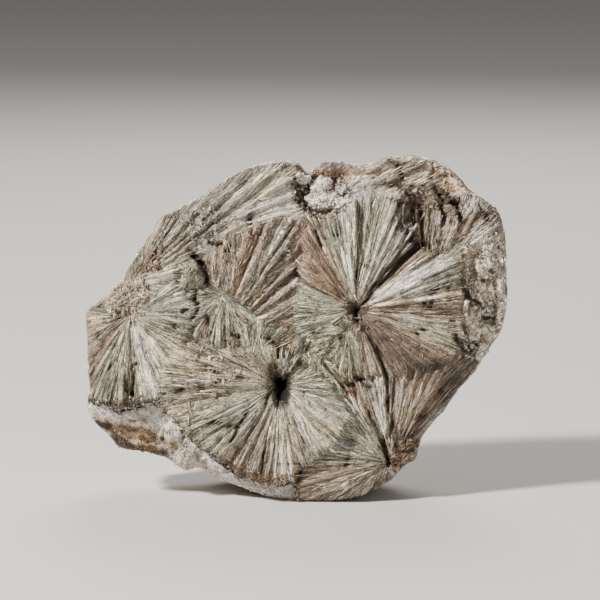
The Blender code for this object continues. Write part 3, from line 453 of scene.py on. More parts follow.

# Marks on the face, over one another in this order: a line, how far it reaches to each side, its colour and
# how strongly it covers. The DARK and BLACK marks that follow the cuts and the seam, lie in the pit of the
# lower spray or curve beside the lump are painted shade in these grooves, gaps and hollows
Mark = namedtuple("Mark", "line reach colour strength")
MARKS = (
    Mark(((-15, 70.25), (-8, 73.25), (-0.5, 76.5)), 2.0, PEARL_WHITE_AND_SHEEN, 0.85),
    Mark(((-10.5, 70), (-1, 71)), 2.4, (0.70, 0.66, 0.58), 0.75),
    Mark(((-40, 56), (-37.5, 58.5), (-35.5, 61.5)), 1.3, BROWN, 0.9),
    Mark(((11.5, 72.5), (13, 75), (16, 75)), 1.9, (0.66, 0.66, 0.64), 0.9),
    Mark(((10, 70), (12.5, 72.75)), 1.6, (0.60, 0.60, 0.56), 0.6),
    Mark(((19.5, 50.75), (27.5, 55), (35.25, 59.5)), 1.2, PEARL_WHITE_AND_SHEEN, 0.9),
    Mark(((23, 53.5), (34, 58.5)), 0.7, PEARL_WHITE_AND_SHEEN, 0.8),
    Mark(((18, 53), (24, 61), (26, 67.5)), 0.7, (0.60, 0.56, 0.48), 0.7),
    Mark(((12.5, 49), (12.25, 58.5), (13, 67.5)), 0.6, (0.62, 0.58, 0.50), 0.6),
    Mark(((17, 49), (35, 47.5)), 1.0, BROWN, 0.6),
    Mark(((20, 46), (34, 49)), 0.6, BROWN, 0.5),
    Mark(((18.5, 41), (25, 36.5), (32, 31.5)), 5.0, (0.09, 0.06, 0.04), 0.72),
    Mark(((17.5, 41.5), (21.5, 36.5), (23, 32.5)), 1.6, BROWN, 0.5),
    Mark(((21, 38.5), (29, 31)), 0.5, (0.30, 0.24, 0.18), 0.4),
    Mark(((27, 41), (35, 36.5)), 1.4, (0.27, 0.21, 0.155), 0.5),
    Mark(((0, 64.5), (4.5, 58.5), (9.5, 51.5)), 4.0, (0.235, 0.155, 0.10), 0.65),
    Mark(((0.5, 50), (7.5, 47.5), (11.5, 46)), 2.4, (0.36, 0.36, 0.28), 0.7),
    Mark(((35.25, 64), (38, 58.5), (40, 53)), 2.0, GREEN_GREY, 0.55),
    Mark(((35.75, 73.25), (39, 67), (42.75, 59.75)), 0.8, (0.42, 0.32, 0.24), 0.7),
    # Painted shadow in the cleft of the cut, under the overhang of the higher blades
    Mark(((20, 55.5), (25, 59.25), (30.5, 62.75)), 0.8, DARK, 0.9),
    Mark(((25.5, 72.5), (26, 67), (28.5, 62.5)), 0.7, DARK, 0.75),
    Mark(((30, 71), (30, 65)), 0.6, DARK, 0.7),
    Mark(((33, 70.5), (34, 61.5)), 0.6, DARK, 0.7),
    Mark(((41, 72), (45.5, 73.5)), 1.7, PEARL_WHITE_AND_SHEEN, 0.8),
    Mark(((40.5, 67.5), (47, 71)), 1.3, (0.27, 0.185, 0.12), 0.75),
    Mark(((42.5, 63.25), (46, 65), (50, 69)), 1.6, PEARL_WHITE_AND_SHEEN, 0.8),
    Mark(((46, 61.5), (49.5, 66)), 0.8, (0.25, 0.17, 0.11), 0.7),
    Mark(((51, 65), (51.5, 54), (51.5, 43.5)), 0.9, (0.30, 0.20, 0.13), 0.7),
    Mark(((45, 60.5), (44.5, 55.5)), 1.8, (0.58, 0.52, 0.45), 0.6),
    Mark(((45.5, 48), (48.5, 44.5)), 2.2, (0.24, 0.165, 0.115), 0.75),
    Mark(((41.5, 49), (41.25, 43.5), (43, 38)), 1.4, (0.62, 0.55, 0.48), 0.7),
    Mark(((47.5, 58.5), (49, 49)), 0.8, (0.24, 0.165, 0.115), 0.7),
    Mark(((43.5, 62), (44.5, 60)), 0.7, BROWN, 0.7),
    Mark(((46.5, 43.5), (49, 41.5)), 0.6, BROWN, 0.7),
    Mark(((42, 56.5), (43, 51)), 0.6, BROWN, 0.7),
    Mark(((40.25, 53.75), (42, 49.5), (45.25, 48)), 0.6, DARK, 0.9),
    Mark(((37.5, 43.5), (38.75, 39.5), (41, 36.5)), 0.7, DARK, 0.85),
    Mark(((45, 38.5), (46.5, 35)), 1.6, (0.60, 0.54, 0.47), 0.7),
    Mark(((38, 59.5), (40.5, 51.5)), 1.3, (0.26, 0.19, 0.14), 0.6),
    Mark(((-9.5, 27.75), (-17.5, 21), (-23.75, 14)), 1.6, (0.42, 0.39, 0.29), 0.4),
    Mark(((-19.5, 24), (-13.5, 26), (-9.5, 27)), 2.6, (0.36, 0.35, 0.26), 0.6),
    Mark(((-24.5, 29), (-24, 25.25)), 0.8, DARK, 0.8),
    Mark(((-21, 36), (-20.75, 35.5)), 0.5, BLACK, 0.95),
    Mark(((-19.75, 30.5), (-22.25, 28.5)), 0.7, BROWN, 0.85),
    Mark(((-20.75, 30.75), (-23, 29)), 0.6, PEARL_WHITE_AND_SHEEN, 0.7),
    Mark(((-24, 27), (-18.5, 26)), 0.7, BROWN, 0.6),
    Mark(((-15.5, 22.25), (-13.5, 20)), 1.3, BLUE_GREY, 0.6),
    Mark(((-17, 14), (-13.25, 21)), 0.7, BROWN, 0.6),
    Mark(((-9.5, 14), (-7.5, 24)), 1.4, (0.46, 0.39, 0.33), 0.5),
    Mark(((-8, 14), (-9.5, 6.25)), 0.6, BROWN, 0.6),
    Mark(((-19.5, 8.5), (-14, 5.5), (-8, 4.5)), 1.5, (0.15, 0.095, 0.055), 0.8),
    # Painted shade in the deep pit of the lower spray
    Mark(((-4.25, 27.75), (-4, 24.5)), 2.6, BLACK, 1.0),
    Mark(((-3.5, 30), (0, 33.5)), 1.0, BLACK, 0.9),
    Mark(((-6, 31), (-9.5, 36)), 1.5, (0.22, 0.20, 0.14), 0.6),
    Mark(((0.75, 24), (12.5, 17.75)), 3.0, (0.42, 0.41, 0.32), 0.4),
    Mark(((-41.5, 41.5), (-39.5, 36), (-37.5, 25)), 0.9, PEARL_WHITE_AND_SHEEN, 0.8),
    Mark(((-38, 33.5), (-35.5, 26)), 1.1, PEARL_WHITE_AND_SHEEN, 0.75),
    Mark(((-45, 44.5), (-49, 37.75)), 1.1, BROWN, 0.6),
    Mark(((-38.75, 46), (-30, 48)), 2.6, (0.37, 0.38, 0.29), 0.7),
    Mark(((-44, 41.5), (-48, 31)), 1.6, (0.35, 0.35, 0.26), 0.5),
    Mark(((-53, 44.5), (-52.5, 36.5), (-53, 26)), 1.1, (0.44, 0.33, 0.20), 0.7),
    Mark(((-50, 41.5), (-51, 31)), 0.6, (0.24, 0.17, 0.11), 0.6),
    Mark(((-52, 46), (-50.5, 44.5)), 1.4, CREAM, 0.8),
    Mark(((-51, 42.5), (-51.5, 41)), 0.8, RUST, 0.9),
    Mark(((-49, 23.5), (-42.5, 22.75), (-35.5, 24)), 0.8, DARK, 0.8),
    Mark(((-29.5, 51), (-28, 47)), 1.2, PEARL_WHITE_AND_SHEEN, 0.6),
    Mark(((-25.75, 51.5), (-26.25, 49.25), (-25.5, 46.75), (-27, 43.75), (-26.5, 40.5)), 0.4, DARK, 0.85),
    # Painted shadow cast by the lump into the gap at its right
    Mark(((-27.5, 61.5), (-24.25, 58.5), (-22, 52)), 1.1, BLACK, 0.95),
    Mark(((-28.5, 58.5), (-25, 56), (-23.5, 53)), 2.4, (0.25, 0.23, 0.18), 0.7),
    Mark(((-26, 69.5), (-21.5, 66)), 2.0, (0.32, 0.31, 0.26), 0.6),
    Mark(((-12.5, 70.5), (-12, 67.25)), 0.7, BLACK, 1.0),
    Mark(((-9.5, 67), (0, 68)), 1.0, BROWN, 0.6),
    Mark(((0, 79.5), (2.5, 73)), 1.6, DARK, 0.8),
    Mark(((6.25, 78), (9, 76.5)), 1.2, DARK, 0.7),
    Mark(((4.75, 81.75), (6.5, 79.5)), 2.0, (0.29, 0.175, 0.10), 0.9),
    Mark(((3.25, 82.5), (5.5, 83.5), (7.75, 82.25)), 0.8, (0.40, 0.36, 0.29), 0.7),
    Mark(((8.5, 82.5), (11, 82), (15.5, 82.5)), 1.0, (0.20, 0.16, 0.12), 0.55),
    Mark(((-0.75, 82.5), (1.5, 80)), 1.4, BROWN, 0.8),
    Mark(((18, 77.25), (25, 78), (33, 77)), 0.6, DARK, 0.8),
    Mark(((19, 75.75), (24.5, 74.75)), 1.6, (0.52, 0.45, 0.36), 0.8),
    Mark(((26.5, 75.5), (30, 73.25), (34, 72.25)), 2.3, (0.12, 0.085, 0.06), 0.75),
    Mark(((34, 76.5), (38, 73.5)), 1.9, DARK, 0.9),
    Mark(((38, 72), (40, 69)), 1.4, DARK, 0.85),
    Mark(((32.75, 76), (38, 71.5), (41.25, 62.5)), 0.7, (0.36, 0.27, 0.20), 0.8),
    Mark(((35.25, 69.5), (36, 67)), 0.8, (0.62, 0.55, 0.52), 0.9),
    Mark(((35, 72.5), (35.25, 68.5)), 0.6, DARK, 0.9),
    Mark(((34, 81), (37.5, 79.5), (41.5, 76.5)), 1.5, (0.46, 0.31, 0.20), 0.6),
    Mark(((22, 84), (24, 82), (24.75, 80.5)), 0.5, DARK, 0.8),
    Mark(((37, 74), (39.5, 70)), 1.6, DARK, 0.75),
    Mark(((12.25, 48), (13, 45), (14.5, 43)), 0.9, DARK, 0.85),
    Mark(((15.5, 46.5), (17, 43.5), (20, 39.5)), 1.3, UMBER, 0.8),
    Mark(((13.25, 47.5), (14.5, 44.5), (16, 42)), 1.0, DARK, 0.85),
    Mark(((14.5, 47), (16.75, 49.25), (17.5, 52), (19.5, 54.5)), 0.6, DARK, 0.9),
    Mark(((12.5, 48.5), (18, 42.5)), 2.6, (0.22, 0.16, 0.115), 0.55),
    Mark(((40.5, 44), (43, 37.75), (46, 36)), 1.2, DARK, 0.6),
    Mark(((42.5, 61.5), (44, 49)), 1.2, PINK_BROWN, 0.6),
    Mark(((10, 14), (11.5, 15)), 1.2, BLUE_GREY, 0.7),
    Mark(((24.5, 27.5), (25.5, 24)), 1.4, BLUE_GREY, 0.6),
    Mark(((25, 28), (30, 29), (33, 28)), 2.6, PINK_BROWN, 0.5),
    Mark(((27.5, 17.75), (31.25, 22.75), (35, 27.75)), 2.2, PINK_BROWN, 0.5),
    Mark(((21, 13.5), (21.5, 8.5)), 1.0, BLACK, 0.9),
    Mark(((23, 19), (24, 11)), 0.6, DARK, 0.8),
    Mark(((24, 11), (29, 12.5)), 2.2, (0.24, 0.15, 0.095), 0.7),
    Mark(((21.25, 7.5), (24.5, 3.5)), 1.8, (0.52, 0.46, 0.42), 0.7),
    Mark(((1.25, 6.5), (12.5, 5)), 1.2, (0.46, 0.36, 0.27), 0.6),
    Mark(((11.5, 39), (13, 32.5)), 1.8, (0.16, 0.155, 0.10), 0.6),
    Mark(((6.5, 42), (8.5, 41.5)), 1.0, PEARL_WHITE_AND_SHEEN, 0.8),
    Mark(((0, 37.75), (0.25, 37.5)), 1.3, (0.10, 0.095, 0.085), 0.9),
    Mark(((-1.75, 39.5), (-2, 36)), 0.7, (0.36, 0.26, 0.13), 0.8),
    Mark(((12.5, 26), (13.25, 27)), 0.8, (0.35, 0.13, 0.09), 0.8),
)

# Marks on the host rock
MATRIX_MARKS = (
    Mark(((-52.5, 22.5), (-45, 20.5), (-37.5, 21), (-32.5, 18.5), (-27.5, 13.5), (-22, 8.5), (-15, 4),
        (-6, 1)), 1.6,
        (0.62, 0.585, 0.54), 0.75),
    Mark(((-49, 17.5), (-41.5, 15.5), (-36, 13)), 3.0, (0.33, 0.215, 0.125), 0.8),
    Mark(((-46.5, 14), (-41, 12), (-34, 10.75)), 1.7, (0.07, 0.045, 0.03), 0.95),
    Mark(((-48, 17), (-44.5, 15), (-42.5, 13)), 0.7, (0.08, 0.052, 0.034), 0.9),
    Mark(((-40, 15), (-37, 13)), 0.7, (0.08, 0.052, 0.034), 0.9),
    Mark(((-44.5, 18), (-40, 16.5), (-35.5, 15), (-31.5, 12.5)), 0.9, (0.14, 0.09, 0.06), 0.85),
    Mark(((-50, 15.5), (-47, 13)), 0.9, (0.12, 0.08, 0.05), 0.8),
    Mark(((-37, 11), (-32.5, 9)), 1.0, (0.20, 0.14, 0.10), 0.7),
    Mark(((-32.5, 14), (-30.5, 12)), 1.2, (0.36, 0.28, 0.17), 0.7),
    Mark(((-30.5, 10), (-27.5, 7)), 2.2, (0.52, 0.41, 0.35), 0.75),
    Mark(((-27.5, 12.5), (-23.5, 8.5)), 0.9, (0.28, 0.21, 0.165), 0.65),
    Mark(((-21.5, 7.5), (-14, 3.5), (-6, 1.5)), 0.6, (0.33, 0.28, 0.24), 0.5),
    Mark(((-50.5, 18), (-47.5, 17.5)), 1.3, BLACK, 0.95),
    Mark(((-53.5, 23), (-50.5, 21)), 1.6, (0.56, 0.56, 0.56), 0.6),
)

# Clumps of the crust: place, half width, half height over the face, and rise
NOTCH_CLUMPS = (
    ((0.75, 79.25), (1.9, 1.6), 2.2),
    ((5.25, 77.25), (2.4, 2.2), 3.4),
    ((5.5, 73.75), (4.6, 2.6), 2.8),
    ((10.25, 76.5), (1.7, 1.4), 1.9),
    ((8.5, 73.25), (2.6, 1.9), 2.2),
)
NOTCH_MARKS = (
    Mark(((8, 78.5), (9.25, 77.25)), 0.9, DARK, 0.8),
    Mark(((2, 72.5), (7.5, 71)), 0.8, BROWN, 0.6),
    Mark(((3, 75), (4, 76.5)), 0.4, BROWN, 0.6),
)

# Patches of broken chips: edge, number of chips, sizes, colour, share of dark ones, and how many sprays of
# short laths start on a square millimetre
Rubble = namedtuple("Rubble", "name edge count sizes colour dark sprays")
RUBBLE = (
    Rubble("ledge", (
        (41, 58.5), (42, 62), (46.5, 65), (50.5, 66.5), (51.75, 58.5), (51.75, 44), (49.5, 40), (45, 33.5),
        (41.5, 36), (40.5, 41.5), (41, 50)
    ), 850, (0.3, 1.6), (0.76, 0.65, 0.53), 0.12, 0.72),
    Rubble("left_granules", (
        (-49.25, 51), (-43.75, 54), (-37.5, 53), (-38.5, 49), (-42, 46), (-46.5, 45.5)
    ), 420, (0.25, 0.9), (0.34, 0.275, 0.205), 0.4, 1.7),
    Rubble("lump", (
        (-29, 58.5), (-26, 59.5), (-23.5, 57), (-23, 51.5), (-26, 51), (-29, 53.5)
    ), 420, (0.2, 0.6), (0.27, 0.25, 0.19), 0.3, 1.2),
    Rubble("upper_granules", (
        (-28, 70), (-22.5, 71), (-19.5, 68.5), (-20.5, 65), (-25, 62.5), (-27.5, 65)
    ), 340, (0.2, 0.7), (0.27, 0.25, 0.205), 0.35, 2.0),
    Rubble("upper_dark", (
        (-40, 55.5), (-37.5, 59.5), (-35, 62), (-33.5, 60), (-36, 56)
    ), 60, (0.2, 0.6), (0.15, 0.10, 0.07), 0.4, 1.0),
    Rubble("notch_rim", (
        (-2.5, 83), (2.5, 81.5), (3, 72.5), (7.5, 69.5), (12.5, 72.5), (13.5, 76), (9, 78.5), (4.5, 84),
        (0.5, 85.5)
    ), 520, (0.25, 0.9), (0.34, 0.26, 0.19), 0.35, 0.8),
    Rubble("hollow", (
        (21.5, 76.5), (32.5, 77.5), (38, 75.5), (40.5, 70.5), (37.5, 68), (35, 71.5), (26, 71.5), (21.5, 74)
    ), 620, (0.25, 1.0), (0.23, 0.18, 0.13), 0.4, 0.9),
    Rubble("corner_break", (
        (21.5, 12.5), (25, 14.5), (30, 13), (28.5, 9.5), (25.5, 6.5), (21, 6.5)
    ), 420, (0.2, 0.8), (0.31, 0.22, 0.155), 0.4, 0.9),
    Rubble("rim", (
        (34.5, 84), (42, 78), (43, 75), (37, 77), (32.5, 83)
    ), 300, (0.25, 0.8), (0.46, 0.35, 0.26), 0.2, 0.9),
    Rubble("seam", (
        (-20, 10), (-13.5, 8.5), (-6, 5.5), (-1, 7), (-0.5, 4.5), (-7.5, 3), (-15, 5)
    ), 1000, (0.15, 0.6), (0.24, 0.16, 0.10), 0.4, 0.5),
    Rubble("left_seam", (
        (-49, 24.25), (-35, 25), (-33.5, 23), (-42.5, 21.5), (-49, 22)
    ), 520, (0.15, 0.6), (0.22, 0.15, 0.10), 0.45, 0.4),
    Rubble("middle", (
        (-21, 64), (-9.5, 67), (-0.5, 68.5), (0, 51.5), (-7.5, 43.5), (-15, 49), (-21.5, 54)
    ), 60, (0.15, 0.4), (0.36, 0.30, 0.23), 0.3, 0.16),
    Rubble("lower_tangle", (
        (-28.5, 36.5), (-21.5, 37.5), (-12.5, 36), (-9.5, 33), (-15, 31), (-21.5, 33), (-26, 31)
    ), 60, (0.2, 0.6), (0.38, 0.33, 0.25), 0.3, 0.4),
    Rubble("lower_left", (
        (-28.5, 23), (-23.5, 26), (-21, 21), (-23.5, 14), (-27.5, 18)
    ), 30, (0.2, 0.6), (0.38, 0.33, 0.25), 0.3, 0.22),
    Rubble("lower_step", (
        (-26, 31), (-19, 32.5), (-13.5, 31), (-18.5, 24.5), (-24, 23.5)
    ), 30, (0.2, 0.6), (0.38, 0.32, 0.24), 0.3, 0.25),
    Rubble("right_centre", (
        (11, 49), (12.5, 51.25), (15.5, 50), (18, 45.5), (16.5, 41), (13, 41), (11, 44.5)
    ), 150, (0.2, 0.7), (0.27, 0.21, 0.155), 0.4, 0.65),
    Rubble("centre", (
        (0, 39), (6.5, 40), (10, 36.5), (7.5, 31), (0, 32.5)
    ), 40, (0.2, 0.6), (0.30, 0.27, 0.19), 0.3, 0.6),
)

# Where the sections of a lath lie along it, and how wide they are there
Form = namedtuple("Form", "shares tapers")
LONG = Form((-0.5, -0.25, 0.02, 0.28, 0.5), (0.3, 0.75, 1.0, 0.95, 0.6))
SHORT = Form((-0.5, 0.08, 0.5), (0.4, 1.0, 0.65))

# Sorts of lath, from plates to hairs: share of the face that they cover, widths, lengths, roll in degrees,
# lift, depth, spread of their tone, and the shares of dark ones, painted as shadow lines between laths, and
# of bright ones, painted as glints
LathSort = namedtuple("LathSort", "form cover widths lengths roll lift depth tone dark bright")
LATH_SORTS = (
    LathSort(LONG, 1.3, (0.6, 1.6), (8.0, 22.0), 3, (0.00, 0.05), 0.8, 0.06, 0.01, 0.02),
    LathSort(LONG, 1.4, (0.26, 0.55), (6.0, 18.0), 7, (0.00, 0.07), 0.6, 0.09, 0.04, 0.04),
    LathSort(LONG, 2.0, (0.13, 0.26), (3.5, 13.0), 13, (0.01, 0.11), 0.45, 0.16, 0.09, 0.08),
    LathSort(SHORT, 1.5, (0.09, 0.17), (1.0, 5.0), 24, (0.03, 0.17), 0.3, 0.32, 0.2, 0.17),
)
LATH_SORTS_BACK = (
    LathSort(LONG, 1.0, (0.8, 2.0), (7.0, 18.0), 6, (0.00, 0.10), 0.9, 0.08, 0.03, 0.03),
    LathSort(LONG, 1.2, (0.4, 0.9), (5.0, 14.0), 12, (0.02, 0.18), 0.7, 0.12, 0.05, 0.05),
    LathSort(SHORT, 1.0, (0.2, 0.4), (2.5, 9.0), 18, (0.03, 0.22), 0.5, 0.2, 0.08, 0.08),
)
SPRAY_SORT = LathSort(SHORT, 1.0, (0.12, 0.5), (0.6, 2.3), 25, (0.0, 0.3), 0.5, 0.38, 0.2, 0.14)
FLECK_SORT = LathSort(SHORT, 1.0, (0.10, 0.32), (0.25, 1.1), 15, (0.08, 0.18), 0.3, 0.25, 0.0, 0.0)
FLECKS = 1400
FLECK_DARK_SHARE = 0.75
RAY_TURNS = 38
LIGHT_SPRAYS = 0.7
SPRAY_ARCS = (0.3, 1.6)
SPRAY_SIZES = (4, 16)
LATH_STRAY = 1.3
LATH_OVERRUN = 0.7
LATH_SLOPE_REACH = 0.3
LATH_STEEPEST = math.radians(55)
LATH_RIM = 0.35
LATH_BEND = 0.015
LATH_TIP_LIFT = 0.03
LATH_SKEW = 0.5
LATH_TAPERS = (0.6, 1.2)
LATH_WARMTH = 0.05
WARM_SHIFT = (1.0, 0.1, -1.0)
LATH_FADE = (-0.12, 0.1)
WANDER_SHORTENS = 2.5
LENGTH_AT_APEX = 0.5
LENGTH_PER_RADIUS = 1.7
SHRINK = 0.66
SHRINK_ROUNDS = 5
SHORTEST_LATH = 0.7
TEST_SHARES = (-0.4, -0.2, 0.0, 0.2, 0.4)
LOSS_ON_PATCHES = 0.75
BACK_TONES = ((0.3, 5.0, 104.0),)
SPRAY_TONES = ((0.35, 3.0, 103.0),)
# Painted shade and light: tone of the laths darkened as shadow lines between laths, and of those brightened
# as glints
SHADOW_LINE_TONE = 0.36
GLINT_TONE = 1.45

# Seeds of the pieces
FRONT_LATH_SEED = 8
BACK_LATH_SEED = 6
RUBBLE_SEED = 91
SPRAY_SEED = 92
FLECK_SEED = 93
CRUMB_SEED = 94
GRAIN_SEED = 95
CRUST_SEED = 97
RIND_SEED = 98
REAR_GRAIN_SEED = 99

# Vectors for the streaks of the material
PLAIN_STREAKS = 1.2
RAY_LENGTH = 0.2
RAY_OFFSETS = (3.7, 1.9)
LATH_STREAKS = (3.8, 0.3, 2.5)
STREAK_OFFSET = 40
CHIP_STREAKS = 1.6
GRAIN_STREAKS = 1600

# Where the front ends and the back begins, as heights over the waist or the face
FRONT_FROM = 1.0
ROCK_FRONT_FROM = -3
BACK_FANS_BELOW = -12
BACK_FANS_RIM = 3

# Broken chips and grains
PALE_CHIPS = 0.1
CHIP_CORNERS = np.array(((1, 0, 0), (-1, 0, 0), (0, 1, 0), (0, -1, 0), (0, 0, 1), (0, 0, -1)), float)
CHIP_FACES = np.array((
    (0, 2, 4), (2, 1, 4), (1, 3, 4), (3, 0, 4), (2, 0, 5), (1, 2, 5), (3, 1, 5), (0, 3, 5)
))
CHIP_REACH = (0.45, 1.0)
CHIP_STRETCH = (0.25, 1.1)
CHIP_RIM = 0.5
CHIP_TONE = 0.4
CHIP_SINK = 0.3
CHIP_SIZE_POWER = 2.5
CHIPS_TRIED = 4
DARK_CHIP_SHADE = 0.6
FLECK_RIM = 1
FLECK_CROWDING = (0.6, 8.0, 105.0)
FLECK_CHANCE = (-0.5, 0.6)
CRUMB_RIM = 0.6
CRUMB_SIZES = (0.15, 0.6)
CRUMB_TONE = 0.4
CRUMB_SINK = (-0.5, 0.4)
CRUMB_PALE_SHARE = 0.3
# Darkening of the dark crumbs, partly painted shade of the gap along the seam
CRUMB_DARK_SHADE = 0.7

# Grains on the host rock, on its front and behind
GRAINS_TRIED = 9000
GRAIN_REGION = ((-53.0, -2.0), (0.0, 25.0))
GRAIN_RIM = 0.45
GRAIN_SEAM_GAP = 0.5
GRAIN_SIZES = (0.12, 0.55)
GRAIN_LARGE_SHARE = 0.1
GRAIN_LARGE = 1.6
GRAIN_TONE = 0.2
GRAIN_DARK_SHARE = 0.16
GRAIN_DARK_SHADE = 0.35
GRAIN_SINK = (-0.4, 0.2)
REAR_GRAIN_SIZES = (0.15, 0.6, 2.5)
REAR_GRAIN_TONE = 0.22
REAR_GRAIN_DARK_SHARE = 0.15
REAR_GRAIN_DARK_SHADE = 0.5

# Crystals of the crust in the notch
CRUST_TRIED = 8600
CRUST_MARGIN = 1.5
CRUST_RAGGED = 0.35
CRUST_OVERLAP = 0.9
CRUST_RIM = 1
CRUST_SIZES = (0.18, 0.75, 1.6)
CRUST_WALL = (1.6, 2.2)
CRUST_GROUND = 0.8
CRUST_SINK = 0.3
CRUST_BUMPS = (0.5, 1.1, 98.0)
CRUST_TONE = 0.26
CRUST_WHITE_FROM = 0.5
CRUST_DUST_NOISE = (0.9, 100.0)
CRUST_DUSTY_NOISE = (0.9, 99.0)
CRUST_CHANCE = 0.3
CRUST_DUST_FROM = 0.12
CRUST_DARK_BELOW = -0.15
CRUST_DUSTY_FROM = 0.32

# Laths of the back and the sides
RIND_LATHS = 8800
RIND_ROSETTES = 46
ROCK_GRAINS = 3600
RIND_LENGTHS = (2.0, 7.5)
RIND_WIDTHS = (0.3, 1.1)
RIND_LIFT = (0.04, 0.26)
RIND_DEPTH = 0.0007
RIND_INSET = 0.00045
RIND_FOOT = 0.0012
RIND_COLOUR = (0.42, 0.365, 0.29)
RIND_TOP = 0.8
RIND_BEND = 0.004
RIND_BEND_SIZE = 6.0
RIND_BEND_SEEDS = (111.0, 112.0, 113.0)
RIND_STRAY = 0.06
RIND_PER_RADIUS = 1.6
RIND_TIP = 0.04
RIND_RAY_TURNS = 9
RIND_RAY_STEP = 3.1
RIND_TONES = (0.9, 0.2, 0.12)
# Shares of the rind's laths darkened as painted shadow lines and brightened as painted glints
RIND_SHADOW_LINE_SHARE = 0.08
RIND_GLINT_FROM = 0.94
RIND_STREAKS = (0.6, 0.3)

# How far the laths of a spray wander from its rays, in radians
PLAIN_WANDER = 0.085
WANDER = {
    "upper": 0.17, "band": 0.12, "back_layer": 0.22, "ledge": 0.8, "spur": 0.25, "middle": 0.38, "ear": 0.14,
    "strips": 0.16, "small_tuft": 0.2,
}

# Sprays whose laths differ less in tone than those of the others
CALM = {"upper": 0.6, "band": 0.35, "back_layer": 0.55, "lower": 0.9, "corner": 0.8}
WANDER_SIZES = ((7.0, 1.0, 101.0), (2.6, 0.8, 102.0))

# Stone: scale, detail and roughness of each noise, stops of its ramps, and the mix of its bumps
STREAK_NOISE = (1.0, 4.0, 0.62)
SPECK_NOISE = (2200.0, 3.0, 0.62)
BLOTCH_NOISE = (260.0, 4.0, 0.6)
STREAK_STOPS = (0.28, 0.5, 0.72)
SPECK_STOPS = (0.30, 0.45, 0.62)
SPECK_MIDDLE = 0.97
BLOTCH_RAMP = ((0.32, 0.82), (0.6, 1.08))
GLOSS_RANGE = (0.3, 0.7)
STREAK_BUMP = 0.6
SPECULAR = 0.5

# Stones: darkest and lightest streaks, darkest and lightest grain, least and most roughness, and the
# strength of the bumps with their depth in millimetres
Stone = namedtuple("Stone", "name streaks grain gloss bump")
CRYSTAL = Stone("pyrophyllite", (0.38, 1.55), (0.4, 1.3), (0.34, 0.6), (0.9, 0.15))
HOST_ROCK = Stone("matrix", (0.8, 1.12), (0.5, 1.25), (0.75, 0.95), (0.9, 0.35))
WHITE_CRUST = Stone("crust", (0.85, 1.12), (0.75, 1.12), (0.4, 0.65), (0.5, 0.12))

# Camera and lights
PHOTO_WIDTH = 600
PIXEL = 0.25
VIEW_MIDDLE_V = 49.0
LIGHT_COLOUR = (1.0, 0.95, 0.88)
CAMERA_DISTANCE = 900.0
CAMERA_REACH = 10
FLOOR_SIZE = 6.0
FLOOR_COLOUR = (0.62, 0.62, 0.61, 1)
FLOOR_ROUGHNESS = 0.7
LIGHT_TARGET = Vector((0, 0, 0.04))
LIGHTS = (
    ("key", (-0.70, -0.46, 0.74), 0.14, 30.0),
    ("fill", (0.6, -0.95, 0.3), 0.6, 2.2),
    ("back", (0.1, 0.8, 0.7), 0.5, 7.0),
)
SURROUND_COLOUR = (1.0, 0.97, 0.95, 1)
SURROUND_STRENGTH = 0.15
SENSOR = 36.0


def smooth_loop(points, steps):
    """Closed Catmull-Rom curve through points, with so many steps from one to the next."""
    here = np.array(points, float)
    before, after, beyond = np.roll(here, 1, 0), np.roll(here, -1, 0), np.roll(here, -2, 0)
    curve = []
    for t in np.arange(steps) / steps:
        cubic = 3 * (here - after) + beyond - before
        square = 2 * before - 5 * here + 4 * after - beyond
        curve.append(here + 0.5 * t * (after - before + t * (square + t * cubic)))
    return np.stack(curve, axis=1).reshape(-1, 2)


def resample(points, spacing, closed=False):
    """Points along a line of straight runs, evenly spaced at about the spacing."""
    line = np.array(points, float)
    if closed:
        line = np.vstack([line, line[:1]])
    lengths = np.concatenate([[0], np.cumsum(np.hypot(*np.diff(line, axis=0).T))])
    count = max(2, int(round(lengths[-1] / spacing)) + 1)
    at = np.linspace(0, lengths[-1], count)
    if closed:
        at = at[:-1]
    return np.column_stack([np.interp(at, lengths, line[:, 0]), np.interp(at, lengths, line[:, 1])])


def inside(places, loop):
    """Whether each place lies inside a closed loop."""
    u, v = places[:, 0], places[:, 1]
    result = np.zeros(len(places), bool)
    for (u0, v0), (u1, v1) in zip(loop, np.roll(loop, -1, 0)):
        if v0 != v1:
            crosses = (v0 > v) != (v1 > v)
            result ^= crosses & (u < u0 + (u1 - u0) * (v - v0) / (v1 - v0))
    return result


def line_distance(places, line, closed=False):
    """Distance from each place to a line of straight runs."""
    line = np.array(line, float)
    ends = np.roll(line, -1, 0) if closed else line[1:]
    nearest = np.full(len(places), np.inf)
    for start, end in zip(line, ends):
        run = end - start
        along = np.clip((places - start) @ run / max(run @ run, TINY), 0, 1)
        nearest = np.minimum(nearest, np.hypot(*(places - start - along[:, None] * run).T))
    return nearest


def lumpy(places, size, seed):
    """Smooth noise from -1 to 1 over the face."""
    return np.array([noise.noise(Vector((u / size, v / size, seed))) for u, v in places.tolist()])


def bumps(places, shapes, base=0, noise_of=lumpy):
    """Smooth random bumps over a base, from the height, size and seed of each layer of them."""
    return sum((height * noise_of(places, size, seed) for height, size, seed in shapes), base)


def sideways(line, closed=False):
    """Unit vectors to the left of a line, one at each of its points."""
    run = np.roll(line, -1, 0) - np.roll(line, 1, 0) if closed else np.gradient(line, axis=0)
    return np.column_stack([-run[:, 1], run[:, 0]]) / np.hypot(*run.T)[:, None]


def rugged_outline():
    """The outline with small dents and bulges."""
    loop = resample(smooth_loop(OUTLINE, OUTLINE_STEPS), OUTLINE_SPACING, closed=True)
    return loop + sideways(loop, closed=True) * (bumps(loop, OUTLINE_WANDER) + OUTLINE_INSET)[:, None]


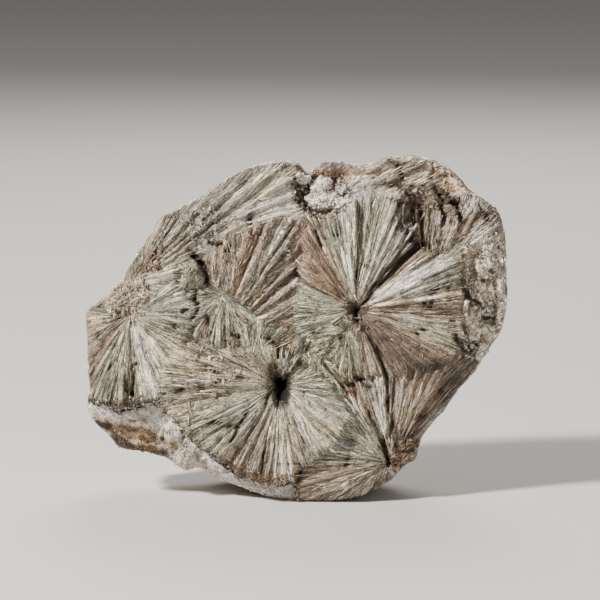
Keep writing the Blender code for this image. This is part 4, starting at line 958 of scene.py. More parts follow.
def field(measure, between=True):
    """A fast stand-in for a slow measure of the face, taken on a fine grid and read at it or in between."""
    low, high = np.array(OUTLINE).min(0) - FIELD_MARGIN, np.array(OUTLINE).max(0) + FIELD_MARGIN
    columns, rows = ((high - low) / FIELD_STEP).astype(int) + 2
    u, v = np.meshgrid(low[0] + FIELD_STEP * np.arange(columns), low[1] + FIELD_STEP * np.arange(rows))
    values = measure(np.column_stack([u.ravel(), v.ravel()])).reshape(rows, columns)

    def read(places):
        at = np.clip((places - low) / FIELD_STEP, 0, (columns - LAST_CELL, rows - LAST_CELL))
        if not between:
            column, row = np.round(at).astype(int).T
            return values[row, column]
        column, row = at.astype(int).T
        right, up = (at - np.floor(at)).T
        lower = values[row, column] * (1 - right) + values[row, column + 1] * right
        upper = values[row + 1, column] * (1 - right) + values[row + 1, column + 1] * right
        return lower * (1 - up) + upper * up

    return read


OUTLINE_LOOP = rugged_outline()
PLAIN_LOOP = smooth_loop(OUTLINE, 2)
MATRIX_LOOP = np.array(SEAM + ((-60.0, -12.0),))
POCKET_LOOP = np.array(POCKET)
BREAK_LOOP = np.array(BREAK_HOLLOW)
rim_distance = field(lambda places: line_distance(places, PLAIN_LOOP, closed=True))


def edge_rounding(distance, width):
    """How far the surface has come up, from 0 at the outline to 1 at the width from it."""
    share = np.clip(distance / width, 0, 1)
    return (1 - (1 - share) ** EDGE_POWER) ** (1 / EDGE_POWER)


def waist(places):
    """Height of the line where the front meets the back, which wanders round the edge."""
    u, v = places.T
    return WAIST_WANDER * (np.sin(u / 15 + 1) * np.cos(v / 21) + 0.5 * np.sin(v / 9 + u / 30))


def blade_angles(fan, count):
    """Uneven angles of a fan's blade edges round a full turn."""
    rng = np.random.default_rng((len(fan.name), count, ANGLE_SEED))
    widths = rng.uniform(*BLADE_WIDTH_RANGE, count)
    return 2 * math.pi * np.cumsum(widths) / widths.sum() - math.pi


def blade_ridges(fan, count):
    """Height of each blade edge: up and down in turn, some of them far more than others."""
    rng = np.random.default_rng((len(fan.name), count, RIDGE_SEED))
    turn = np.where(np.arange(count) % 2, 1.0, -1.0)
    return fan.ridge * turn * rng.uniform(*BLADE_RIDGE_RANGE, count)


def polar(fan, places):
    """Radius and angle of places about a fan's apex."""
    out = places - np.array(fan.apex)
    return np.hypot(out[:, 0], out[:, 1]), np.arctan2(out[:, 1], out[:, 0])


def blade_steps(fan, radius, angle):
    """Steps up and down where single blades have broken off short."""
    count = 2 * fan.blades
    blade = np.searchsorted(blade_angles(fan, count), angle) % count
    rng = np.random.default_rng((len(fan.name), count, STEP_SEED))
    breaks = rng.uniform(*STEP_REACH, (count, STEP_COUNT))
    rises = rng.uniform(-STEP_HEIGHT, STEP_HEIGHT, (count, STEP_COUNT))
    passed = np.clip((radius[:, None] - breaks[blade]) / STEP_RUN, 0, 1)
    return (passed * rises[blade]).sum(1)


def fan_height(fan, places):
    """Height of one fan over the face. Past a radius its blades split in two."""
    radius, angle = polar(fan, places)
    coarse, fine = (
        np.interp(angle, blade_angles(fan, count), blade_ridges(fan, count), period=2 * math.pi)
        for count in (fan.blades, 2 * fan.blades)
    )
    split = np.clip(radius / SPLIT_RADIUS - SPLIT_START, 0, 1)
    near = np.clip(radius / FULL_RIDGE_RADIUS, APEX_RIDGE, 1)
    ridge = (coarse * (1 - COARSE_LOSS * split) + fine * split) * near * RIDGE_SHARE
    pit = fan.pit * np.exp(-((radius / fan.pit_radius) ** 2))
    tilt = (places - np.array(fan.apex)) @ np.array(fan.slope)
    sector = 0
    if fan.name in SECTORS:
        rays = sorted(SECTORS[fan.name])
        sector = np.interp(np.degrees(angle),
        [ray[0] for ray in rays], [ray[1] for ray in rays], period=360)
        sector *= np.clip(radius / SECTOR_RADIUS, 0, 1)
    return fan.lift + tilt - pit + ridge + sector + blade_steps(fan, radius, angle)


def sector_colours(fan, angle):
    """Colour of a fan's sectors at these angles."""
    if fan.name not in SECTORS:
        return np.tile(np.array(fan.colour), (len(angle), 1))
    rays = sorted(SECTORS[fan.name])
    at = [ray[0] for ray in rays]
    shades = [
        np.interp(np.degrees(angle),
        at, [ray[2][channel] for ray in rays], period=360) for channel in range(3)
    ]
    return SECTOR_SHARE * np.column_stack(shades) + (1 - SECTOR_SHARE) * np.array(fan.colour)


fray_fields = [
    field(lambda places, turn=turn: sum(
        amount * lumpy(places, size, seed + turn) for size, amount, seed in FRAY)) for turn in (0.0, 0.5)
]


def frayed(places):
    """Places shifted a little at random, so that what they are tested against gets an uneven edge."""
    return places + np.column_stack([read(places) for read in fray_fields])


def ragged(places):
    """Places shifted less, for narrow marks and cuts."""
    return places + RAGGED_SHARE * (frayed(places) - places)


def fan_owner(fans, places):
    """Number of the fan that shows at each place, or -1."""
    owner = np.full(len(places), -1)
    for number, fan in enumerate(fans):
        owner[inside(places, np.array(fan.edge, float))] = number
    return owner


def front_owner(places):
    """Number of the front fan at each place, or -1 on the host rock and in the hollows."""
    owner = fan_owner(FRONT_FANS, frayed(places))
    left_over = owner < 0
    if left_over.any():
        away = [line_distance(places[left_over], fan.edge, closed=True) for fan in FRONT_FANS]
        owner[left_over] = np.argmin(away, axis=0)
    owner[inside(places, MATRIX_LOOP)] = -1
    owner[inside(places, POCKET_LOOP)] = -1
    owner[inside(frayed(places), BREAK_LOOP)] = -1
    return owner


def small_cracks():
    """Short bent cracks scattered over the crystals."""
    rng = np.random.default_rng(CRACK_SEED)
    starts = rng.uniform(*SMALL_CRACK_REGION, (SMALL_CRACKS, 2))
    aims = rng.uniform(-math.pi, math.pi, SMALL_CRACKS)
    lengths = rng.uniform(*SMALL_CRACK_LENGTHS, SMALL_CRACKS)
    found = []
    for start, aim, length in zip(starts, aims, lengths):
        bend = aim + rng.uniform(-SMALL_CRACK_BEND, SMALL_CRACK_BEND)
        middle = start + length * np.array((math.cos(aim), math.sin(aim)))
        found.append((start, middle, middle + length * np.array((math.cos(bend), math.sin(bend)))))
    return tuple(found)


def pocket_floor(places):
    """Height of the flat floor of the notch's hollow."""
    middle, slope_u, slope_v = POCKET_FLOOR
    u, v = (places - np.array(POCKET_MIDDLE)).T
    return middle + slope_u * u + slope_v * v


def rough_share(places):
    """1 on the patches of broken chips and 0 elsewhere."""
    rough = np.zeros(len(places))
    shifted = frayed(places)
    for patch in RUBBLE:
        if patch.sprays > LIGHT_SPRAYS:
            rough[inside(shifted, np.array(patch.edge))] = 1
    return rough


def front_height(places, rim=None):
    """Height of the front surface over the face."""
    if rim is None:
        rim = rim_distance(places)
    relief = np.zeros(len(places))
    shifted = frayed(places)
    for fan in FRONT_FANS:
        near = line_distance(shifted, fan.edge, closed=True)
        depth = np.where(inside(shifted, np.array(fan.edge, float)), near, -near)
        share = np.clip(0.5 + depth / FAN_BLEND, 0, 1)
        mine = share > 0
        relief[mine] += share[mine] * (fan_height(fan, places[mine]) - relief[mine])
    relief += bumps(places, FACE_BUMPS) + rough_share(places) * bumps(places, ROUGH_BUMPS)
    rock = inside(places, MATRIX_LOOP)
    relief[rock] = bumps(places[rock], MATRIX_BUMPS) - MATRIX_STEP_DOWN
    narrow = ragged(places)
    broken = inside(shifted, BREAK_LOOP)
    relief[broken] = bumps(places[broken], BREAK_BUMPS) - BREAK_DEPTH
    for line, half_width, depth in CUTS:
        away = line_distance(narrow, line)
        relief -= depth * np.clip(CUT_STEEPNESS - CUT_STEEPNESS * away / half_width, 0, 1)
    for line in ALL_CRACKS:
        relief -= CRACK_DEPTH * np.clip(1 - line_distance(places, line) / CRACK_HALF_WIDTH, 0, 1)
    for place, radius, height in LUMPS:
        share = np.hypot(*(places - np.array(place)).T) / radius
        relief += height * np.sqrt(np.clip(1 - share**2, 0, 1))
    height = FACE_HEIGHT * edge_rounding(rim, FACE_EDGE_WIDTH)
    height += relief * np.clip(rim / RIM_FADE_WIDTH, 0, 1)
    pocket = inside(places, POCKET_LOOP)
    height[pocket] = pocket_floor(places[pocket]) - waist(places[pocket])
    height[rim < RIM_TOLERANCE] = 0
    height += waist(places)
    ceiling = (FRONT_LIMIT + places[:, 1] * math.sin(LEAN)) / math.cos(LEAN)
    return np.minimum(height, ceiling + SQUEEZE * (height - ceiling))


def back_height(places, rim=None):
    """Height of the back surface, which is below zero."""
    if rim is None:
        rim = rim_distance(places)
    u, v = places.T
    depth = BACK_DEPTH * edge_rounding(rim, BACK_EDGE_WIDTH)
    for middle, slope_u, slope_v in BACK_BREAKS:
        depth = np.minimum(depth, middle + slope_u * u + slope_v * (v - FACE_MIDDLE_V))
    relief = bumps(places, BACK_BUMPS)
    owner = fan_owner(BACK_FANS, places)
    for number, fan in enumerate(BACK_FANS):
        mine = owner == number
        relief[mine] = fan_height(fan, places[mine])
    height = -(depth + relief * np.clip(rim / RIM_FADE_WIDTH, 0, 1))
    height[rim < RIM_TOLERANCE] = 0
    return height + waist(places)


ALL_CRACKS = CRACKS + small_cracks()
# Every crack also gets a black mark, painted shade in the crack
ALL_MARKS = MARKS + tuple(Mark(line, CRACK_SHADE_REACH, BLACK, CRACK_SHADE_STRENGTH) for line in ALL_CRACKS)
STRONG_MARKS = tuple(mark for mark in ALL_MARKS if mark.strength > STRONG_MARK)
owner_at = field(front_owner, between=False)
front_at = field(front_height)
rough_at = field(rough_share, between=False)
back_owner_at = field(lambda places: fan_owner(BACK_FANS, frayed(places)), between=False)
back_at = field(back_height)


def set_places(places, heights):
    """The points in space, in metres, of places on the leaning face. Behind the waist they are crumpled."""
    points = np.column_stack([places, heights])
    for i in np.flatnonzero(heights < 0):
        spot = Vector(points[i]) / CRUMPLE_SIZE
        amount = CRUMPLE * min(-heights[i] / CRUMPLE_SIZE, 1)
        points[i] += (
            amount * noise.noise(spot),
            amount * noise.noise(spot + CRUMPLE_V_OFFSET),
            amount * noise.noise(spot + CRUMPLE_HEIGHT_OFFSET),
        )
    u, v, height = points.T
    y = v * math.sin(LEAN) - height * math.cos(LEAN) - CENTRE_DEPTH
    z = v * math.cos(LEAN) + height * math.sin(LEAN)
    return np.column_stack([u - CENTRE_U, y, z]) * MM


def face_places(points):
    """Places on the face and heights over it, from points in space."""
    x, y, z = (points / MM).T
    y = y + CENTRE_DEPTH
    places = np.column_stack([x + CENTRE_U, z * math.cos(LEAN) + y * math.sin(LEAN)])
    return places, z * math.sin(LEAN) - y * math.cos(LEAN)


def keep_in_box(points):
    """Points moved back inside the CAD model's box, where they stand out of it."""
    low, high = np.array(CAD_BOX[0]) + BOX_INSET, np.array(CAD_BOX[1]) - BOX_INSET
    low[2] = 0
    return np.clip(points, low, high)


def mesh_object(name, points, triangles):
    """An object from arrays of points and triangles."""
    mesh = bpy.data.meshes.new(name)
    mesh.vertices.add(len(points))
    mesh.vertices.foreach_set("co", np.asarray(points, np.float32).ravel())
    mesh.loops.add(3 * len(triangles))
    mesh.loops.foreach_set("vertex_index", np.asarray(triangles, np.int32).ravel())
    mesh.polygons.add(len(triangles))
    mesh.polygons.foreach_set("loop_start", np.arange(0, 3 * len(triangles), 3, dtype=np.int32))
    mesh.update(calc_edges=True)
    obj = bpy.data.objects.new(name, mesh)
    bpy.context.scene.collection.objects.link(obj)
    return obj


def store(obj, name, kind, part, values):
    """Store a value for each corner of a mesh."""
    attribute = obj.data.attributes.new(name, kind, "POINT")
    attribute.data.foreach_set(part, np.asarray(values, np.float32).ravel())


def store_looks(obj, colours, vectors, lightest=LIGHTEST):
    """Store the colour and the streak vector of each corner of a mesh, for its material."""
    colours = np.clip(colours, DARKEST, lightest)
    store(obj, "tint", "FLOAT_COLOR", "color", np.column_stack([colours, np.ones(len(colours))]))
    store(obj, "ray", "FLOAT_VECTOR", "vector", vectors)


def stain(colours, lumps, kind):
    """Colours with a soft stain over them where the noise is high."""
    cover = np.clip(kind.strength * lumps - kind.offset, 0, kind.most)[:, None]
    return colours + cover * (np.array(kind.colour) - colours)


def stain_in_space(colours, points, kind):
    """Colours with a stain whose noise is taken in space."""
    return stain(colours, lumpy_3d(points, kind.size, kind.seed), kind)


def marked(colours, places, marks):
    """Colours with marks laid over them. The edge of a mark is frayed."""
    fray = bumps(places, MARK_FRAY, base=1)
    shifted = ragged(places)
    for mark in marks:
        line = np.array(mark.line)
        low, high = line.min(0) - MOST_FRAY * mark.reach, line.max(0) + MOST_FRAY * mark.reach
        near = np.flatnonzero(((shifted > low) & (shifted < high)).all(1))
        away = line_distance(shifted[near], line) / (mark.reach * np.maximum(fray[near], LEAST_FRAY))
        cover = mark.strength * np.clip(MARK_STEEPNESS - MARK_STEEPNESS * away, 0, 1)
        colours[near] += cover[:, None] * (np.array(mark.colour) - colours[near])
    return colours


def blade_tones(radius, angle, turns, length, seed):
    """Tone from -1 to 1 that changes fast from blade to blade and slowly along the blades."""
    return np.array([
        noise.noise(Vector((math.cos(a) * turns, math.sin(a) * turns, r / length + seed)))
        for a, r in zip(angle.tolist(), radius.tolist())
    ])


def front_colours(places, owner):
    """Colour of the front at each place."""
    colours = np.tile(np.array(BEIGE), (len(places), 1))
    for number, fan in enumerate(FRONT_FANS):
        mine = owner == number
        if mine.any():
            radius, angle = polar(fan, places[mine])
            tone = sum(strength * blade_tones(radius, angle, *shape) for strength, *shape in BLADE_TONES)
            tone = np.exp(CALM.get(fan.name, 1.0) * tone)
            hue = blade_tones(radius, angle, *BLADE_HUE)[:, None] * HUE_SHIFT
            colours[mine] = sector_colours(fan, angle) * tone[:, None] * (1 + hue)
    for patch in RUBBLE:
        within = inside(frayed(places), np.array(patch.edge)) & (patch.sprays > LIGHT_SPRAYS)
        colours[within] = PATCH_SHARE * np.array(patch.colour) + (1 - PATCH_SHARE) * colours[within]
    return colours * bumps(places, PATCHY_TONES, base=1)[:, None]


def ray_vectors(fans, owner, places, heights):
    """Vectors that change fast across the blades and slowly along them, for the streaks of the material."""
    vectors = np.column_stack([places, heights]) * PLAIN_STREAKS
    for number, fan in enumerate(fans):
        mine = owner == number
        radius, angle = polar(fan, places[mine])
        vectors[mine] = np.column_stack([
            np.cos(angle) * RAY_TURNS + RAY_OFFSETS[0] * number,
            np.sin(angle) * RAY_TURNS,
            radius * RAY_LENGTH + RAY_OFFSETS[1] * number,
        ])
    return vectors


def hex_grid(spacing, seed):
    """A loose triangular grid over the whole outline."""
    rng = np.random.default_rng(seed)
    low, high = OUTLINE_LOOP.min(0), OUTLINE_LOOP.max(0)
    rows = []
    for turn, v in enumerate(np.arange(low[1], high[1], spacing * math.sqrt(0.75))):
        u = np.arange(low[0] + spacing * (turn % 2) / 2, high[0], spacing)
        rows.append(np.column_stack([u, np.full(len(u), v)]))
    grid = np.vstack(rows)
    return grid + rng.uniform(-GRID_JITTER, GRID_JITTER, grid.shape) * spacing


def inset_at(share, width):
    """How far inside the outline the surface has come up by this share."""
    return width * (1 - (1 - share**EDGE_POWER) ** (1 / EDGE_POWER))


def rings(shares, width):
    """Rings just inside the outline, where the surface is steep. Past a certain inset they are sparser."""
    found = []
    for share in shares:
        inset = inset_at(share, width)
        ring = (OUTLINE_LOOP + inset * sideways(OUTLINE_LOOP, closed=True))[:: 1 + (inset > SPARSE_INSET)]
        found.append(ring[line_distance(ring, OUTLINE_LOOP, closed=True) > RING_CLEARANCE * inset])
    return np.vstack(found)


def sheet(spacing, shares, width, clearance, seed):
    """Places and triangles of a fine sheet over the outline."""
    ring_places = rings(shares, width)
    grid = hex_grid(spacing, seed)
    grid = grid[inside(grid, OUTLINE_LOOP)]
    grid = grid[line_distance(grid, OUTLINE_LOOP, closed=True) > clearance]
    places = np.vstack([OUTLINE_LOOP, ring_places, grid])
    count = len(OUTLINE_LOOP)
    edges = [(i, (i + 1) % count) for i in range(count)]
    corners = [Vector(place) for place in places]
    inside_only = 1
    found = delaunay_2d_cdt(corners, edges, [list(range(count))], inside_only, MERGE_PLACES)
    return np.array([tuple(place) for place in found[0]]), np.array(found[2])


def turned(places, triangles, outwards):
    """Triangles that all face the front (1) or the back (-1)."""
    first, second, third = (places[triangles[:, i]] for i in range(3))
    run, rise = second - first, third - first
    wrong = (run[:, 0] * rise[:, 1] - run[:, 1] * rise[:, 0]) * outwards < 0
    triangles[wrong] = triangles[wrong][:, ::-1]
    return triangles


def fine_body():
    """Crystals and host rock as one fine closed body, cut flat where it rests."""
    inner = inset_at(BACK_RINGS[-1], BACK_EDGE_WIDTH)
    front, front_triangles = sheet(FRONT_SPACING, FRONT_RINGS, FACE_EDGE_WIDTH, FRONT_CLEARANCE, FRONT_SEED)
    back, back_triangles = sheet(BACK_SPACING, BACK_RINGS, BACK_EDGE_WIDTH, inner + BACK_CLEARANCE, BACK_SEED)
    front_rim, back_rim = (line_distance(places, OUTLINE_LOOP, closed=True) for places in (front, back))
    points = np.vstack([
        set_places(front, front_height(front, front_rim)),
        set_places(back, back_height(back, back_rim)),
    ])
    triangles = np.vstack([
        turned(front, front_triangles, 1),
        turned(back, back_triangles, -1) + len(front),
    ])
    body = mesh_object("rosettes_body", points, triangles)
    cut_flat(body)
    return body


def cut_flat(body):
    """Join the two sheets of a body at their edge, and cut it flat at the floor."""
    data = bmesh.new()
    data.from_mesh(body.data)
    bmesh.ops.remove_doubles(data, verts=data.verts, dist=MERGE_CORNERS)
    parts = data.verts[:] + data.edges[:] + data.faces[:]
    cut = bmesh.ops.bisect_plane(
        data, geom=parts, dist=CUT_TOLERANCE, plane_co=(0, 0, 0), plane_no=(0, 0, -1), clear_outer=True
    )
    edges = [part for part in cut["geom_cut"] if isinstance(part, bmesh.types.BMEdge)]
    bmesh.ops.edgenet_fill(data, edges=edges)
    bmesh.ops.triangulate(data, faces=data.faces)
    data.to_mesh(body.data)
    data.free()


def seam_cutter():
    """A thin toothed sheet that parts the crystals from the host rock, and runs up behind them."""
    line = resample(SEAM, SEAM_TOOTH_LENGTH / 2)
    teeth = SEAM_TEETH * np.random.default_rng(SEAM_SEED).uniform(-1, 1, len(line)) + bumps(line, SEAM_BUMPS)
    line = line + sideways(line) * teeth[:, None]
    rows = []
    for height in (SEAM_FRONT, SEAM_STRAIGHT_BELOW, SEAM_BACK):
        back = max(0.0, SEAM_STRAIGHT_BELOW - height)
        shifted = line + back * np.array(SEAM_RUN_BACK)
        rows.append(set_places(shifted, np.full(len(line), height)))
    count = len(line)
    triangles = []
    for row in range(2):
        for i in range(count - 1):
            a, b = row * count + i, row * count + i + 1
            c, d = b + count, a + count
            triangles += [(a, b, c), (a, c, d)]
    cutter = mesh_object("seam_cutter", np.vstack(rows), np.array(triangles))
    solid = cutter.modifiers.new("thickness", "SOLIDIFY")
    solid.thickness = SEAM_GAP * MM
    solid.offset = 0
    return cutter


def part_at_seam(body):
    """Cut the fine body along the seam into the crystals and the host rock."""
    cutter = seam_cutter()
    cut = body.modifiers.new("seam", "BOOLEAN")
    cut.operation = "DIFFERENCE"
    cut.object = cutter
    bpy.ops.object.select_all(action="DESELECT")
    bpy.context.view_layer.objects.active = body
    body.select_set(True)
    bpy.ops.object.modifier_apply(modifier=cut.name)
    bpy.data.objects.remove(cutter, do_unlink=True)
    bpy.ops.mesh.separate(type="LOOSE")
    bodies = sorted(bpy.context.selected_objects, key=lambda piece: -len(piece.data.polygons))
    for crumb in bodies[2:]:
        bpy.data.objects.remove(crumb, do_unlink=True)
    bodies[0].name = "rosettes_body"
    bodies[1].name = "matrix_body"
    return bodies[:2]


def points_of(obj):
    """The corners of a mesh as an array."""
    points = np.zeros(3 * len(obj.data.vertices))
    obj.data.vertices.foreach_get("co", points)
    return points.reshape(-1, 3)


def body_vectors(places, heights, owner):
    """Streak vectors of a body: along the rays on the fans, and plain elsewhere."""
    vectors = ray_vectors(FRONT_FANS, owner, places, heights)
    behind = (heights < BACK_FANS_BELOW) & (rim_distance(places) > BACK_FANS_RIM)
    back_fan = np.where(behind, back_owner_at(places), -1)
    spun = ray_vectors(BACK_FANS, back_fan, places, heights)
    vectors[back_fan >= 0] = spun[back_fan >= 0]
    return vectors


def crystal_body_colours(points, places, owner, on_front):
    """Colours of the crystals' body. Where laths cover it, it is darkened as painted shade, so that the gaps
    between the laths look shaded.
    """
    colours = marked(front_colours(places, owner), places, ALL_MARKS)
    shaded_gaps = on_front & (owner >= 0) & (rough_at(places) < 0.5)
    # Painted shade: the body under the laths is darkened so that the gaps between them read as shaded
    colours[shaded_gaps] *= np.array(GAP_SHADE_TINT) * GAP_SHADE_TONE
    plain = ~on_front
    tone = bumps(points[plain], PLAIN_TONES, base=1, noise_of=lumpy_3d)
    colours[plain] = np.array(PLAIN_STONE) * tone[:, None]
    colours[plain] = stain_in_space(colours[plain], points[plain], PLAIN_STAIN)
    return colours


def rock_colours(points, tone):
    """Colours of the host rock, with rusty stains."""
    return stain_in_space(ROCK_SHADE * np.array(MATRIX_PALE) * tone[:, None], points, ROCK_STAIN)


def paint_body(body, is_crystal):
    """Colours and streak vectors of a body."""
    points = keep_in_box(points_of(body))
    body.data.vertices.foreach_set("co", points.astype(np.float32).ravel())
    places, heights = face_places(points)
    on_front = (heights > waist(places) + FRONT_FROM) & inside(places, PLAIN_LOOP)
    owner = np.where(on_front, owner_at(places), -1)
    if is_crystal:
        colours = crystal_body_colours(points, places, owner, on_front)
    else:
        colours = rock_colours(points, bumps(points, ROCK_TONES, base=1, noise_of=lumpy_3d))
        front = heights > ROCK_FRONT_FROM
        colours[front] = marked(colours[front], places[front], MATRIX_MARKS)
    store_looks(body, colours, body_vectors(places, heights, owner), BODY_LIGHTEST)


def lumpy_3d(points, size, seed):
    """Smooth noise from -1 to 1 in space, with lumps of about this size in millimetres."""
    scale = 1 / (size * MM)
    offset = Vector((seed, 0.37 * seed, 0.71 * seed))
    return np.array([noise.noise(Vector(point) * scale + offset) for point in points.tolist()])


def lath_faces(stations):
    """Triangles of one lath: sections of a left, a right and a bottom corner, closed at both ends."""
    last = 3 * (stations - 1)
    faces = [(0, 1, 2), (last, last + 2, last + 1)]
    for section in range(0, last, 3):
        for a, b in ((0, 1), (1, 2), (2, 0)):
            near_a, near_b, far_a, far_b = section + a, section + b, section + 3 + a, section + 3 + b
            faces += [(near_a, far_a, far_b), (near_a, far_b, near_b)]
    return np.array(faces)


def lath_limits(ends, number, edge, owner_of, overrun):
    """Whether the ends of laths lie too far outside their fan, or off the crystals."""
    outside = (owner_of(ends) != number) & (line_distance(ends, edge, closed=True) > overrun)
    outside |= ~inside(ends, PLAIN_LOOP) | inside(ends, MATRIX_LOOP) | inside(ends, POCKET_LOOP)
    return outside | (rim_distance(ends) < LATH_RIM)


def clear_laths(centres, directions, lengths, rng):
    """Whether laths keep clear of the cracks. Most of those on broken patches are left out too."""
    keep = np.ones(len(centres), bool)
    for share in TEST_SHARES:
        spots = centres + directions * (lengths * share)[:, None]
        for line in ALL_CRACKS:
            keep &= line_distance(spots, line) > CRACK_CLEARANCE
        keep &= rng.uniform(0, 1, len(spots)) > LOSS_ON_PATCHES * rough_at(spots)
    return keep


def fan_laths(fan, number, sort, owner_of, rng):
    """Centres, directions and lengths of one sort of lath over a fan."""
    edge = np.array(fan.edge, float)
    low, high = edge.min(0) - 1, edge.max(0) + 1
    mean_area = 0.5 * sum(sort.widths) * 0.5 * sum(sort.lengths)
    count = int(sort.cover * np.prod(high - low) / mean_area)
    centres = rng.uniform(low, high, (count, 2))
    wander = WANDER.get(fan.name, PLAIN_WANDER)
    lengths = rng.uniform(*sort.lengths, count) / (1 + WANDER_SHORTENS * wander)
    stray = np.radians(rng.normal(0, LATH_STRAY, count))
    keep = (owner_of(centres) == number) & (rim_distance(centres) > LATH_RIM)
    keep &= inside(centres, PLAIN_LOOP)
    centres, lengths, stray = centres[keep], lengths[keep], stray[keep]
    radius, angle = polar(fan, centres)
    lengths = np.minimum(lengths, LENGTH_AT_APEX + LENGTH_PER_RADIUS * radius)
    for size, share, seed in WANDER_SIZES:
        angle = angle + wander * share * 2 * lumpy(centres, size, seed)
    angle = angle + stray
    directions = np.column_stack([np.cos(angle), np.sin(angle)])
    overrun = rng.exponential(LATH_OVERRUN, len(centres))
    for _ in range(SHRINK_ROUNDS):
        short = np.zeros(len(centres), bool)
        for share in sort.form.shares:
            ends = centres + directions * (lengths * share)[:, None]
            short |= lath_limits(ends, number, edge, owner_of, overrun)
        lengths[short] *= SHRINK
    keep = ~short & (lengths > SHORTEST_LATH)
    keep &= clear_laths(centres, directions, lengths, rng)
    return centres[keep], directions[keep], lengths[keep]


def spray_laths(patch, rng):
    """Centres, directions and lengths of short laths that spray out from points scattered over a patch."""
    edge = np.array(patch.edge)
    low, high = edge.min(0), edge.max(0)
    starts = rng.uniform(low, high, (int(patch.sprays * np.prod(high - low)), 2))
    starts = starts[inside(frayed(starts), edge)]
    aims = rng.uniform(-math.pi, math.pi, len(starts))
    arcs = rng.uniform(*SPRAY_ARCS, len(starts))
    spray = np.repeat(np.arange(len(starts)), rng.integers(*SPRAY_SIZES, len(starts)))
    angle = aims[spray] + arcs[spray] * rng.uniform(-0.5, 0.5, len(spray))
    lengths = rng.uniform(*SPRAY_SORT.lengths, len(spray))
    directions = np.column_stack([np.cos(angle), np.sin(angle)])
    centres = starts[spray] + directions * lengths[:, None] * 0.5
    keep = np.ones(len(centres), bool)
    for share in SPRAY_SORT.form.shares:
        ends = centres + directions * (lengths * share)[:, None]
        keep &= inside(ends, PLAIN_LOOP) & ~inside(ends, MATRIX_LOOP) & ~inside(ends, POCKET_LOOP)
        keep &= rim_distance(ends) > LATH_RIM
    return centres[keep], directions[keep], lengths[keep]


def lath_points(sort, centres, directions, lengths, height_of, rng):
    """The corners of laths as places and heights: sections of a left, a right and a bottom corner."""
    count = len(centres)
    across = np.column_stack([-directions[:, 1], directions[:, 0]])
    widths = rng.uniform(*sort.widths, count)
    aside = across * LATH_SLOPE_REACH
    rise = height_of(centres + aside) - height_of(centres - aside)
    ground_roll = np.arctan(rise / (2 * LATH_SLOPE_REACH))
    roll = np.clip(ground_roll, -LATH_STEEPEST, LATH_STEEPEST) + np.radians(rng.normal(0, sort.roll, count))
    lift = rng.uniform(*sort.lift, count)
    stations = len(sort.form.shares)
    tip_lift = rng.normal(0, LATH_TIP_LIFT, (count, stations))
    skew = rng.uniform(-LATH_SKEW, LATH_SKEW, (count, stations)) * widths[:, None]
    taper = np.array(sort.form.tapers) * rng.uniform(*LATH_TAPERS, (count, stations))
    bend = rng.normal(0, LATH_BEND, count) * lengths
    sections = []
    for turn, share in enumerate(sort.form.shares):
        middle = centres + directions * (lengths * share)[:, None]
        middle = middle + across * (bend * (1 - 4 * share**2))[:, None]
        ground = height_of(middle)
        half = 0.5 * widths * taper[:, turn]
        shift = directions * skew[:, turn, None]
        top = ground + lift + tip_lift[:, turn]
        for side in (-1, 1):
            spot = middle + across * (side * half * np.cos(roll))[:, None] + side * shift
            sections.append(np.column_stack([spot, top + side * half * np.sin(roll)]))
        sections.append(np.column_stack([middle, ground - sort.depth]))
    return np.stack(sections, axis=1)


def lath_shades(sort, centres, directions, lengths, colours, marks, rng):
    """Colours of the corners of laths. A share of them is darkened as painted shadow lines between laths, and
    a share brightened as painted glints.
    """
    count = len(centres)
    tone = np.exp(rng.normal(0, sort.tone, count))
    chance = rng.uniform(0, 1, count)
    # Painted shadow lines and painted glints
    tone[chance < sort.dark] *= SHADOW_LINE_TONE
    tone[chance > 1 - sort.bright] *= GLINT_TONE
    warmth = rng.normal(0, LATH_WARMTH, (count, 1)) * WARM_SHIFT
    fade = 1 + rng.uniform(*LATH_FADE, (count, len(sort.form.shares), 1))
    shades = ((colours * tone[:, None] * (1 + warmth))[:, None, :] * fade).reshape(-1, 3)
    stations = [centres + directions * (lengths * share)[:, None] for share in sort.form.shares]
    return np.repeat(marked(shades, np.stack(stations, axis=1).reshape(-1, 2), marks), 3, axis=0)


def lath_vectors(corners, centres, directions, rng):
    """Vectors for the streaks along each lath."""
    across = np.column_stack([-directions[:, 1], directions[:, 0]])
    out = corners[:, :, :2] - centres[:, None, :]
    along = (out * directions[:, None, :]).sum(2)
    cross = (out * across[:, None, :]).sum(2)
    local = np.stack([cross, along, corners[:, :, 2]], axis=2) * LATH_STREAKS
    return (local + rng.uniform(-STREAK_OFFSET, STREAK_OFFSET, (len(centres), 1, 3))).reshape(-1, 3)


def lath_object(name, groups, outwards):
    """One closed mesh of several groups of laths: their corners, colours and streak vectors."""
    spaces, triangles, total = [], [], 0
    for corners, _, _ in groups:
        places = corners.reshape(-1, 3)
        spaces.append(keep_in_box(set_places(places[:, :2], places[:, 2] * outwards)))
        faces = lath_faces(corners.shape[1] // 3)[:, ::outwards]
        firsts = total + corners.shape[1] * np.arange(len(corners))
        triangles.append((faces[None] + firsts[:, None, None]).reshape(-1, 3))
        total += len(places)
    obj = mesh_object(name, np.vstack(spaces), np.vstack(triangles))
    store_looks(obj, np.vstack([group[1] for group in groups]), np.vstack([group[2] for group in groups]))
    return obj


def lath_group(sort, laths, height_of, base, marks, rng):
    """Corners, colours and streak vectors of laths, from their centres, directions and lengths."""
    corners = lath_points(sort, *laths, height_of, rng)
    colours = lath_shades(sort, *laths, base, marks, rng)
    return corners, colours, lath_vectors(corners, *laths[:2], rng)


